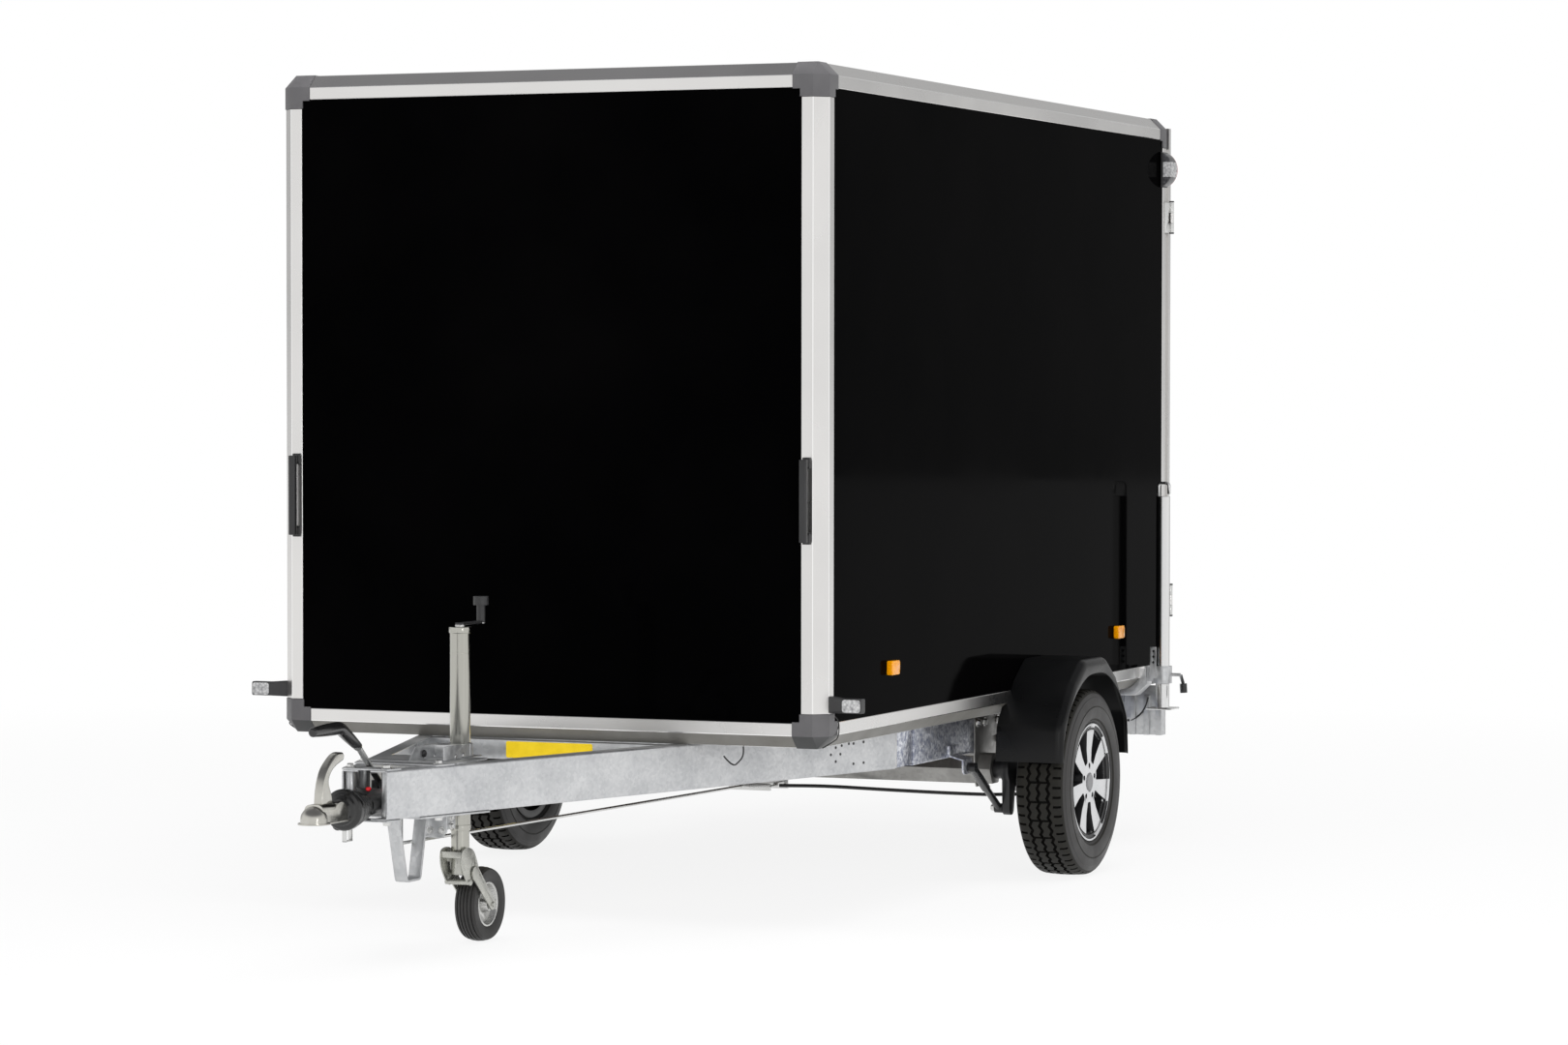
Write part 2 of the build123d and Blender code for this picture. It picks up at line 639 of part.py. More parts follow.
with BuildPart() as jockey_fork:
    rod((*jockey_axis, fork_top - 66), (*jockey_axis, fork_top - 0.4), jockey_inner_r)
    outer = cheek_inner + fork_sheet
    block((jockey_x - 12, jockey_x + 20), (jockey_y - outer, jockey_y + outer), (fork_top - 30, fork_top - 8))
    cheek = [(53, 8), (19, 13), (-11, 4), (-41, -34), (-49, -60), (-27, -78), (1, -100), (43, -66), (63, -18)]
    for side in (-outer, cheek_inner):
        with BuildSketch(Plane.XZ.offset(-(jockey_y + side))):
            with BuildLine():
                Spline(*[(jockey_x + a, fork_top + b) for a, b in cheek], periodic=True)
            make_face()
        extrude(amount=-fork_sheet)
    arm_x, arm_z = jockey_x - 20, fork_top - 66
    for side in (-fork_inner - fork_sheet, fork_inner):
        with BuildSketch(Plane.XZ.offset(-(jockey_y + side))):
            with Locations((arm_x, arm_z)):
                Circle(22)
            with Locations((wheel_x, jockey_wheel_r)):
                Circle(17)
            make_hull()
        extrude(amount=-fork_sheet)
    block((jockey_x + 53, jockey_x + 58), (jockey_y - outer, jockey_y + outer), (fork_top - 15, fork_top + 3))
    wide = fork_inner + fork_sheet
    for x, z, reach in (
        (jockey_x + 13, fork_top - 90, outer + 5), (arm_x, arm_z, wide), (wheel_x, jockey_wheel_r, wide + 6),
    ):
        rod((x, jockey_y - reach, z), (x, jockey_y + reach, z), fork_pin_r)


def wheel_profile_plane(x, y, z):
    """Plane whose X runs along the wheel's axle and whose Y runs outwards along a radius."""
    return Plane(origin=(x, y, z), x_dir=(0, 1, 0), z_dir=(1, 0, 0))


jockey_wheel_axis = Axis((wheel_x, jockey_y, jockey_wheel_r), (0, 1, 0))
with BuildPart() as jockey_tyre:
    with BuildSketch(wheel_profile_plane(wheel_x, jockey_y, jockey_wheel_r)):
        with BuildLine():
            half, shoulder = jockey_wheel_half, jockey_wheel_r - 8
            Polyline((-half + 5, jockey_rim_r), (-half, jockey_rim_r + 12), (-half, shoulder))
            ThreePointArc((-half, shoulder), (0, jockey_wheel_r), (half, shoulder))
            Polyline((half, shoulder), (half, jockey_rim_r + 12), (half - 5, jockey_rim_r))
            Line((half - 5, jockey_rim_r), (-half + 5, jockey_rim_r))
        make_face()
    revolve(axis=jockey_wheel_axis)

with BuildPart() as jockey_rim:
    with BuildSketch(wheel_profile_plane(wheel_x, jockey_y, jockey_wheel_r)):
        half, bore = jockey_wheel_half, fork_pin_r + running
        Polygon(
            (-half, bore), (half, bore), (half, 20), (9, 26), (9, 54), (half - 5, 60), (half - 5, jockey_rim_r),
            (5 - half, jockey_rim_r), (5 - half, 60), (-9, 54), (-9, 26), (-half, 20), align=None,
        )
    revolve(axis=jockey_wheel_axis)

# ---------------------------------------------------------------- road wheels and axle

wheel_axis_left = Axis((axle_x, track_half, axle_height), (0, 1, 0))
wheel_plane_left = wheel_profile_plane(axle_x, track_half, axle_height)

with BuildPart() as tyre_left:
    with BuildSketch(wheel_plane_left):
        with BuildLine():
            bead, seat = rim_half - 6, rim_seat_r
            ThreePointArc((bead, rim_lip_r + 2), (tyre_half, seat + 74), (80, tyre_r - 16))
            ThreePointArc((80, tyre_r - 16), (74, tyre_r - 7), (62, tyre_r - 3))
            ThreePointArc((62, tyre_r - 3), (0, tyre_r), (-62, tyre_r - 3))
            ThreePointArc((-62, tyre_r - 3), (-74, tyre_r - 7), (-80, tyre_r - 16))
            ThreePointArc((-80, tyre_r - 16), (-tyre_half, seat + 74), (-bead, rim_lip_r + 2))
            Polyline((-bead, rim_lip_r + 2), (-bead, seat), (12 - bead, seat), (12 - bead, seat + 12))
            ThreePointArc((12 - bead, seat + 12), (12 - tyre_half, seat + 74), (-66, tyre_r - 22))
            Line((-66, tyre_r - 22), (66, tyre_r - 22))
            ThreePointArc((66, tyre_r - 22), (tyre_half - 12, seat + 74), (bead - 12, seat + 12))
            Polyline((bead - 12, seat + 12), (bead - 12, seat), (bead, seat), (bead, rim_lip_r + 2))
        make_face()
    revolve(axis=wheel_axis_left)

with BuildPart() as rim_left:
    out, seat, drop, wall = rim_half, rim_seat_r, rim_drop_r, rim_wall
    with BuildSketch(wheel_plane_left):
        Polygon(
            (22, hub_bore), (22, 52), (30, 62), (37, 105), (44, drop), (50, seat - 2), (67, seat - 2), (64, drop),
            (58, 112), (52, 64), (54, 42), (54, hub_bore), align=None,
        )
    revolve(axis=wheel_axis_left)
    face_plane = Plane(origin=(axle_x, track_half + rim_half + 1, axle_height), x_dir=(1, 0, 0), z_dir=(0, -1, 0))
    with BuildSketch(face_plane) as windows:
        with PolarLocations(0, spoke_count, start_angle=90 + 180 / spoke_count):
            Polygon((window_in, -13), (seat, -45), (seat + 9, 0), (seat, 45), (window_in, 13), align=None)
        fillet(windows.vertices(), radius=8)
        with PolarLocations(stud_circle / 2, stud_count, start_angle=90):
            Circle(stud_hole_r)
    extrude(amount=rim_half + 1, mode=Mode.SUBTRACT)
    with BuildSketch(wheel_plane_left):
        Polygon(
            (-out, rim_lip_r), (wall - out, rim_lip_r), (wall - out, seat), (-40, seat), (-28, drop + 6),
            (20, drop + 6), (34, seat), (out - wall, seat), (out - wall, rim_lip_r), (out, rim_lip_r),
            (out, rim_lip_r - 6), (out - 8, seat + 9), (out - 16, seat - wall), (38, seat - wall), (24, drop),
            (-32, drop), (-44, seat - wall), (-out, seat - wall), align=None,
        )
    revolve(axis=wheel_axis_left)

with BuildPart() as hub_left:
    with BuildSketch(wheel_plane_left):
        bore = stub_r + running
        Polygon(
            (-60, bore), (-60, drum_r), (14, drum_r), (22, drum_r - 10), (22, 31), (62, 31), (62, 12),
            (57, 12), (57, 0), (48, 0), (48, bore), align=None,
        )
        Polygon((-61, 40), (-61, drum_r - 12), (8, drum_r - 12), (8, 40), align=None, mode=Mode.SUBTRACT)
    revolve(axis=wheel_axis_left)

with BuildPart() as tyre_right:
    mirror(tyre_left.part, about=left_right)

with BuildPart() as rim_right:
    mirror(rim_left.part, about=left_right)

with BuildPart() as hub_right:
    mirror(hub_left.part, about=left_right)

with BuildPart() as axle_beam:
    with BuildSketch(Plane.XZ.offset(-beam_half)):
        with Locations((beam_x, beam_height)):
            RegularPolygon(beam_across / 2, 6, major_radius=False, rotation=0)
    extrude(amount=2 * beam_half)
    for side in (-member_y + member_flange / 2, member_y - member_flange / 2):
        block(
            (beam_x - 70, beam_x + 70), (side - member_flange / 2, side + member_flange / 2),
            (beam_height + beam_across / 2 - 4, chassis_bottom),
        )
    for side in (-member_y, member_y + plate_sheet):
        with BuildSketch(Plane.XZ.offset(-side)):
            Polygon(
                (beam_x + 70, box_floor - 14), (beam_x - 190, box_floor - 14), (beam_x - 190, beam_height - 36),
                (beam_x - 130, beam_height - 60), (beam_x + 50, beam_height - 60), (beam_x + 70, beam_height - 24),
                align=None,
            )
        extrude(amount=plate_sheet)

arm_face = track_half - arm_in
arm_out = arm_face + arm_thick
lug_x, lug_z = beam_x + 9, beam_height - 132
with BuildPart() as swing_arms:
    for a, b in (
        ((beam_x, beam_height, 50), (axle_x, axle_height, 44)),
        ((beam_x, beam_height, 34), (lug_x, lug_z, 22)),
    ):
        with BuildSketch(Plane.XZ.offset(-arm_face)):
            for x, z, radius in (a, b):
                with Locations((x, z)):
                    Circle(radius)
            make_hull()
        extrude(amount=-arm_thick)
    rod((beam_x, beam_half, beam_height), (beam_x, arm_face, beam_height), 0.34 * beam_across)
    rod((axle_x, arm_out, axle_height), (axle_x, track_half + 46, axle_height), stub_r)
    plate_y = track_half - 60 - 3
    rod((axle_x, plate_y - 4, axle_height), (axle_x, plate_y, axle_height), drum_r + 2)
    rod((axle_x, arm_out, axle_height), (axle_x, plate_y, axle_height), 40)
    mirror(about=left_right)

shock_low = (lug_x, shock_y, lug_z)
with BuildPart() as shock_absorbers:
    along = Vector(*shock_low) - Vector(*shock_top)
    middle = Vector(*shock_top) + along * 0.5
    rod(shock_top, tuple(middle), 15)
    rod(tuple(middle), shock_low, 12)
    for x, y, z in (shock_top, shock_low):
        rod((x, y - 14, z), (x, y + 14, z), 16)
    rod((lug_x, shock_y, lug_z), (lug_x, arm_face, lug_z), 7)
    rod((shock_top[0], tongue_out, shock_top[2]), shock_top, 7)
    mirror(about=left_right)

with BuildPart() as brake_linkage:
    rod_front = (nose_x - 285, linkage_y, chassis_bottom - 94)
    rod_rear = (beam_x + 170, linkage_y, beam_height - 76)
    rod(rod_front, rod_rear, 5)
    x, y, z = rod_front
    block((x - 6, x + 6), (y - 6, -housing_r), (z - 14, coupling_z + 15))
    x, y, z = rod_rear
    block((x - 6, x + 6), (-76, 76), (z - 12, z + 12))
    for side in (-64, 64):
        rod((x, side, z), (beam_x + 96, side, z), 4)
    block((beam_x - 30, beam_x + 30), (-84, 84), (beam_height - beam_across / 2 - 6, beam_height - beam_across / 2))
    block((beam_x + 30, beam_x + 36), (-84, 84), (z - 16, beam_height - beam_across / 2))
    for side in (-64, 64):
        block((beam_x + 36, beam_x + 96), (side - 9, side + 9), (z - 9, z + 9))

cable_r = 6.0
with BuildPart() as brake_cables:
    z = rod_rear[2]
    route = [
        (beam_x + 100, 80, z), (beam_x + 74, 240, z + 2), (beam_x + 20, 430, z - 8), (beam_x - 50, 610, z - 18),
        (beam_x - 126, plate_y - 219, z - 26), (axle_x - 68, plate_y - 99, z - 24), (axle_x - 68, plate_y - 4, z - 24),
    ]
    with BuildLine() as cable_path:
        runs = [Vector(*b) - Vector(*a) for a, b in zip(route, route[1:])]
        radii = []
        for first, second in zip(runs, runs[1:]):
            turn = radians(first.get_angle(second))
            radii.append(0.45 * min(first.length, second.length) / (sin(turn / 2) / cos(turn / 2)))
        FilletPolyline(*[(x, y, z) for x, y, z in route], radius=radii)
    with BuildSketch(Plane(origin=route[0], z_dir=runs[0])):
        Circle(cable_r)
    sweep()
    mirror(about=left_right)

# ---------------------------------------------------------------- mudguards

guard_arch = [(28, guard_bottom), (41, 505), (101, 585), (189, 645), (274, 676), (guard_half, 682)]
guard_turns = [(0, guard_bottom), (12, 523), (139, 664), (249, guard_top)]


def guard_outline():
    """The mudguard's side view, a wire from one foot over the top to the other."""
    rear = [(axle_x - guard_half + inward, level) for inward, level in guard_turns]
    front = [(2 * axle_x - x, level) for x, level in reversed(rear[1:])]
    return rear + front + [(axle_x + guard_half, guard_front)]


with BuildPart() as mudguard_left:
    with BuildSketch(Plane.XZ.offset(guard_in - box_half)):
        with BuildLine():
            FilletPolyline(*guard_outline(), radius=70)
            Line(guard_outline()[-1], guard_outline()[0])
        make_face()
    extrude(amount=box_half - guard_in - guard_outer)
    outer = mudguard_left.faces().sort_by(Axis.Y)[-1].edges().filter_by(lambda e: e.center().Z > guard_front)
    fillet(outer, radius=guard_round)
    with BuildSketch(Plane.YZ.offset(axle_x - guard_half)):
        side, chamfer_top = box_half, box_floor + rail_chamfer
        Polygon(
            (side, guard_top + 9), (side - guard_in - 1, guard_top + 9), (side - guard_in - 1, chamfer_top - guard_in - 1),
            (side, chamfer_top), align=None,
        )
    extrude(amount=2 * guard_half, mode=Mode.SUBTRACT)
    offset(amount=-guard_sheet, openings=mudguard_left.faces().sort_by(Axis.Z)[:1], kind=Kind.INTERSECTION)
    for wall, depth in ((guard_outer + 1, guard_sheet + 1.5), (box_half + guard_sheet + 0.5, guard_in + guard_sheet + 1.5)):
        with BuildSketch(Plane.XZ.offset(-wall)):
            with BuildLine():
                arch = [(guard_half - inward, level) for inward, level in guard_arch]
                arch = [(axle_x + x, z) for x, z in arch] + [(axle_x - x, z) for x, z in reversed(arch[:-1])]
                Spline(*arch)
                Polyline(arch[-1], (arch[-1][0], guard_bottom - 9), (arch[0][0], guard_bottom - 9), arch[0])
            make_face()
        extrude(amount=depth, mode=Mode.SUBTRACT)
with BuildPart() as mudguard_right:
    mirror(mudguard_left.part, about=left_right)

# ---------------------------------------------------------------- prop stands

prop_axis_left = (prop_x, prop_y)
with BuildPart() as prop_left:
    rod((*prop_axis_left, prop_foot_z + 5), (*prop_axis_left, prop_top), prop_r)
    rod((*prop_axis_left, prop_foot_z + 4), (*prop_axis_left, prop_top - 8), prop_r - prop_wall, Mode.SUBTRACT)
    block((prop_x - 48, prop_x + 48), (prop_y - 48, prop_y + 48), (prop_foot_z, prop_foot_z + 6))
    with BuildSketch(Plane.YZ.offset(prop_x)):
        with BuildLine() as loop:
            FilletPolyline(
                (prop_y - 18, prop_top - 4), (prop_y - 18, prop_top + 48), (prop_y + 22, prop_top + 48),
                (prop_y + 22, prop_top + 8), radius=12,
            )
        trace(line_width=10)
    extrude(amount=5, both=True)

with BuildPart() as prop_right:
    mirror(prop_left.part, about=left_right)

with BuildPart() as prop_brackets:
    low, high = box_floor + prop_clamp_low, box_floor + prop_clamp_high
    shelf, bend = box_floor - 27, box_floor + 14
    with BuildSketch(Plane.YZ.offset(prop_x - 34)):
        Polygon(
            (member_y, shelf), (prop_y - 95, shelf), (prop_y - 51, bend), (prop_y - 51, high), (prop_y - 57, high),
            (prop_y - 57, bend + 4), (prop_y - 98, shelf + 6), (member_y, shelf + 6), align=None,
        )
    extrude(amount=68)
    with BuildSketch(Plane.YZ.offset(prop_x + 30)):
        Polygon(
            (prop_y - 148, shelf + 3), (prop_y - 97, shelf + 3), (prop_y - 54, bend + 2), (prop_y - 54, high - 11),
            (prop_y - 74, high - 11), (prop_y - 74, box_floor + 38), (prop_y - 113, box_floor - 2),
            (prop_y - 148, box_floor - 4), align=None,
        )
    extrude(amount=4)
    rod((*prop_axis_left, low), (*prop_axis_left, high), prop_r + 9)
    block((prop_x - 20, prop_x + 20), (prop_y - 51, prop_y), (low + 6, high - 6))
    latch_y = prop_y - prop_r
    block((prop_x + 18, prop_x + 34), (latch_y - 12, latch_y + 12), (low + 18, high - 6))
    block((prop_x + 30, prop_x + 34), (latch_y - 12, latch_y + 12), (high - 8, high + 69))
    for level in (high + 14, high + 34, high + 54):
        rod((prop_x + 29, latch_y, level), (prop_x + 35, latch_y, level), 5, Mode.SUBTRACT)
    rod((*prop_axis_left, low - 1), (*prop_axis_left, high + 1), prop_r + prop_clear, Mode.SUBTRACT)
    y = prop_y + prop_r + 9
    rod((prop_x, y - 1, low + 31), (prop_x, y + 34, low + 31), 6)
    rod((prop_x, y + 34, low + 31), (prop_x, y + 44, low), 6)
    rod((prop_x, y + 44, low), (prop_x, y + 46, low - 33), 13)
    mirror(about=left_right)

# ---------------------------------------------------------------- lamps

with BuildPart() as front_lamps:
    root_x, lens_x, lamp_z = box_front - 61, box_front - 30, box_floor + 132.0
    with BuildSketch(Plane.XZ.offset(-box_half)):
        with Locations((root_x, lamp_z)):
            RectangleRounded(44, 50, 8)
    with BuildSketch(Plane.XZ.offset(-box_half - 52)):
        with Locations((lens_x, lamp_z)):
            RectangleRounded(34, 44, 8)
    loft()
    with BuildSketch(Plane.XZ.offset(-box_half - 51)):
        with Locations((lens_x, lamp_z)):
            RectangleRounded(34, 44, 8)
    extrude(amount=-62)
    mirror(about=left_right)

with BuildPart() as side_markers:
    for x in (box_front - 552, box_rear + 583):
        block((x - 33, x + 33), (box_half - rail_skin, box_half + 18), (box_floor + 193, box_floor + 238))
    fillet(side_markers.edges().filter_by(Axis.Y), radius=8)
    mirror(about=left_right)

with BuildPart() as outline_lamps:
    lamp_z = box_top - 184.0
    with BuildSketch(Plane(origin=(box_rear + 70, box_half, lamp_z), x_dir=(0, 1, 0), z_dir=(1, 0, 0))):
        with BuildLine():
            Line((0, 65), (0, -65))
            ThreePointArc((0, -65), (45, 0), (0, 65))
        make_face()
    extrude(amount=34, both=True, taper=0)
    mirror(about=left_right)

with BuildPart() as rear_lamps:
    for y0 in (board_half - 318, board_half - 178):
        block((board_x - 4 - 46, board_x - 4), (y0, y0 + 134), (board_bottom + 36, board_bottom + 146))
    fillet(rear_lamps.edges().filter_by(Axis.X), radius=14)
    mirror(about=left_right)

# ---------------------------------------------------------------- right door, and all nodes

with BuildPart() as door_frame_right:
    mirror(door_frame_left.part, about=left_right)
with BuildPart() as door_panel_right:
    mirror(door_panel_left.part, about=left_right)
with BuildPart() as lock_bar_right:
    mirror(lock_bar_left.part, about=left_right)

nodes = {
    "front_panel": front_panel, "left_panel": left_panel, "right_panel": right_panel, "roof_panel": roof_panel,
    "floor_panel": floor_panel, "front_posts": front_posts, "rear_posts": rear_posts, "top_rails": top_rails,
    "bottom_rails": bottom_rails, "corner_caps": corner_caps, "grab_handles": grab_handles,
    "door_frame_left": door_frame_left, "door_panel_left": door_panel_left,
    "lock_bar_left": lock_bar_left,
    "door_frame_right": door_frame_right, "door_panel_right": door_panel_right,
    "lock_bar_right": lock_bar_right,
    "door_fixings": door_fixings,
    "drawbar_beams": drawbar_beams, "side_members": side_members, "cross_members": cross_members,
    "rear_lamp_board": rear_lamp_board, "head_plates": head_plates, "overrun_housing": overrun_housing,
    "overrun_gaiter": overrun_gaiter, "coupling_head": coupling_head, "coupling_lever": coupling_lever,
    "handbrake_lever": handbrake_lever, "support_hoop": support_hoop,
    "jockey_clamp": jockey_clamp, "jockey_outer_tube": jockey_outer_tube, "jockey_crank": jockey_crank,
    "jockey_inner_tube": jockey_inner_tube, "jockey_fork": jockey_fork, "jockey_rim": jockey_rim,
    "jockey_tyre": jockey_tyre,
    "tyre_left": tyre_left, "rim_left": rim_left, "hub_left": hub_left,
    "tyre_right": tyre_right, "rim_right": rim_right, "hub_right": hub_right,
    "axle_beam": axle_beam, "swing_arms": swing_arms,
    "shock_absorbers": shock_absorbers, "brake_linkage": brake_linkage,
    "brake_cables": brake_cables, "mudguard_left": mudguard_left, "mudguard_right": mudguard_right,
    "prop_left": prop_left, "prop_right": prop_right, "prop_brackets": prop_brackets,
    "front_lamps": front_lamps, "side_markers": side_markers,
    "outline_lamps": outline_lamps, "rear_lamps": rear_lamps,
}
os.makedirs("parts", exist_ok=True)
for name, node in nodes.items():
    node.part.label = name
    export_step(node.part, f"parts/{name}.step")
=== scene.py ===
import json
import math

import bmesh
import bpy
from mathutils import Matrix, Vector


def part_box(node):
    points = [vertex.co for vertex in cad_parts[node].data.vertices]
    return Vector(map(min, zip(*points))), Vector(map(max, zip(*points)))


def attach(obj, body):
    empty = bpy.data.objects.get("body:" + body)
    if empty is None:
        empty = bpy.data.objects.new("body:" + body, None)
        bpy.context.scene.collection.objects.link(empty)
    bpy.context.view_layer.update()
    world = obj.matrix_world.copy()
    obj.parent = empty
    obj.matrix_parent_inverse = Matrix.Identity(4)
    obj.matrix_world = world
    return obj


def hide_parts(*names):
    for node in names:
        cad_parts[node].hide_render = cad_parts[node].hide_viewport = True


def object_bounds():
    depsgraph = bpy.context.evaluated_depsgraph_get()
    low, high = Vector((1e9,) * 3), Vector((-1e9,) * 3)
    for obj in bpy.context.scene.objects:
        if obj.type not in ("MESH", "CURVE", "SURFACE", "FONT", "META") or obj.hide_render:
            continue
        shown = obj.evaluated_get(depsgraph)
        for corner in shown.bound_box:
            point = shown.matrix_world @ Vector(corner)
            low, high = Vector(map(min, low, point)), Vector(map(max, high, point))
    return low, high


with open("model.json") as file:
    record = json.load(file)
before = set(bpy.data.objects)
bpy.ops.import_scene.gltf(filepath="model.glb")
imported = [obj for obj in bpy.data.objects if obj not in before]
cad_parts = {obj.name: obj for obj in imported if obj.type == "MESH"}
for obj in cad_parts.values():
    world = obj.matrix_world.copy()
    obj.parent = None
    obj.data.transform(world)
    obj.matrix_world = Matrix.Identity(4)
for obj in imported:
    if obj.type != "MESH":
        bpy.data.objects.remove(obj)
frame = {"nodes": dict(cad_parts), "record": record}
cad_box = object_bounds()

# ---- Wall, roof and door panels ------------------------------
# Plywood sheets faced with a high-gloss black laminate. They slide into the corner extrusions and
# are bonded there, so only the flat glossy sheet shows.


def shader_of(finish):
    return finish.node_tree.nodes["Principled BSDF"]


def new_finish(name, color, rough, metallic=0.0, spec=0.5, coat=0.0):
    """A plain finish, ready for the wear and grain that each material adds."""
    finish = bpy.data.materials.new(name)
    finish.use_nodes = True
    for label, value in (
        ("Base Color", (*color, 1)), ("Roughness", rough), ("Metallic", metallic),
        ("Specular IOR Level", spec), ("Coat Weight", coat),
    ):
        shader_of(finish).inputs[label].default_value = value
    return finish


def add_node(owner, kind, **settings):
    """Adds a node to a finish or the world, with plain values set by property or by input name."""
    node = owner.node_tree.nodes.new(kind)
    for key, value in settings.items():
        if hasattr(node, key):
            setattr(node, key, value)
        else:
            node.inputs[key.replace("_", " ")].default_value = value
    return node


PATTERN_VALUES = ("Rough Low", "Rough High", "Bump Strength")


def new_group(name, values, colors=("Color A", "Color B"), outputs=("Color", "Roughness", "Normal")):
    """An empty shader node group with its sockets, its two end nodes and its Object coordinates."""
    group = bpy.data.node_groups.new(name, "ShaderNodeTree")
    for label in colors:
        group.interface.new_socket(name=label, in_out="INPUT", socket_type="NodeSocketColor")
    for label in values:
        group.interface.new_socket(name=label, in_out="INPUT", socket_type="NodeSocketFloat")
    for label in outputs:
        kind = {"Color": "Color", "Normal": "Vector"}.get(label, "Float")
        group.interface.new_socket(name=label, in_out="OUTPUT", socket_type="NodeSocket" + kind)
    new = group.nodes.new
    ends = new("NodeGroupInput"), new("NodeGroupOutput")
    return group, new, group.links.new, *ends, new("ShaderNodeTexCoord")


def end_group(group, new, tie, ins, outs, tone, gloss, relief, depth):
    """Ends a pattern: tone blends its two colours, gloss sets its roughness and relief its bump."""
    mix, rough, bump = new("ShaderNodeMix"), new("ShaderNodeMapRange"), new("ShaderNodeBump")
    mix.data_type = "RGBA"
    bump.inputs["Distance"].default_value = depth
    for start, end in (
        (tone, mix.inputs["Factor"]), (ins.outputs["Color A"], mix.inputs["A"]),
        (ins.outputs["Color B"], mix.inputs["B"]), (gloss, rough.inputs["Value"]),
        (ins.outputs["Rough Low"], rough.inputs["To Min"]),
        (ins.outputs["Rough High"], rough.inputs["To Max"]), (relief, bump.inputs["Height"]),
        (ins.outputs["Bump Strength"], bump.inputs["Strength"]),
        (mix.outputs["Result"], outs.inputs["Color"]), (rough.outputs["Result"], outs.inputs["Roughness"]),
        (bump.outputs["Normal"], outs.inputs["Normal"]),
    ):
        tie(start, end)
    return group


def make_surface_group():
    """Uneven surface: a soft blotch for colour and roughness, and a fine grain for the bump."""
    group, new, tie, ins, outs, place = new_group(
        "surface grain", ("Blotch Scale", "Grain Scale", *PATTERN_VALUES),
    )
    blotch, grain, spread = new("ShaderNodeTexNoise"), new("ShaderNodeTexNoise"), new("ShaderNodeMapRange")
    blotch.inputs["Detail"].default_value = 4
    grain.inputs["Detail"].default_value = 2
    spread.inputs["From Min"].default_value, spread.inputs["From Max"].default_value = 0.35, 0.65
    for noise, scale in ((blotch, "Blotch Scale"), (grain, "Grain Scale")):
        tie(place.outputs["Object"], noise.inputs["Vector"])
        tie(ins.outputs[scale], noise.inputs["Scale"])
    tie(blotch.outputs["Fac"], spread.inputs["Value"])
    tone = spread.outputs["Result"]
    return end_group(group, new, tie, ins, outs, tone, tone, grain.outputs["Fac"], 0.001)


surface_grain = make_surface_group()


def place_group(finish, tree, values, outputs=("Color", "Roughness", "Normal")):
    """Adds a node group to a finish with its own values, and feeds the shader from it."""
    group = add_node(finish, "ShaderNodeGroup", node_tree=tree)
    for label, value in values.items():
        group.inputs[label].default_value = (*value, 1) if isinstance(value, tuple) else value
    for label in outputs:
        socket = "Base Color" if label == "Color" else label
        finish.node_tree.links.new(group.outputs[label], shader_of(finish).inputs[socket])
    return group


def patterned(name, tree, color_a, color_b, rough, bump, values, metallic=0.0, spec=0.5, coat=0.0):
    """A finish whose two colours, gloss and bump follow a pattern."""
    finish = new_finish(name, color_a, rough[0], metallic, spec, coat)
    shared = {
        "Color A": color_a, "Color B": color_b, "Rough Low": rough[0], "Rough High": rough[1],
        "Bump Strength": bump,
    }
    place_group(finish, tree, shared | values)
    return finish


def grained(
    name, color_a, color_b, rough, metallic=0.0, spec=0.5, blotch=4.0, grain=400.0, bump=0.1, coat=0.0,
):
    """A finish with the uneven colour, gloss and grain that its real surface has."""
    scales = {"Blotch Scale": blotch, "Grain Scale": grain}
    return patterned(name, surface_grain, color_a, color_b, rough, bump, scales, metallic, spec, coat)


def dress(finish, *nodes):
    """Gives CAD nodes, whose shape is right, their real finish."""
    for name in nodes:
        for slot in frame["nodes"][name].material_slots:
            slot.material = finish


gloss_black = grained(
    "gloss black laminate", (0.0006, 0.0006, 0.0007), (0.0014, 0.0013, 0.0014), (0.03, 0.08),
    spec=0.003, blotch=1.5, grain=30, bump=0.01,
)
dress(
    gloss_black, "front_panel", "left_panel", "right_panel", "roof_panel", "door_panel_left",
    "door_panel_right",
)
brown_ply = grained(
    "film-faced floor plywood", (0.05, 0.03, 0.02), (0.08, 0.05, 0.03), (0.45, 0.6), grain=900, bump=0.3,
)
dress(brown_ply, "floor_panel")
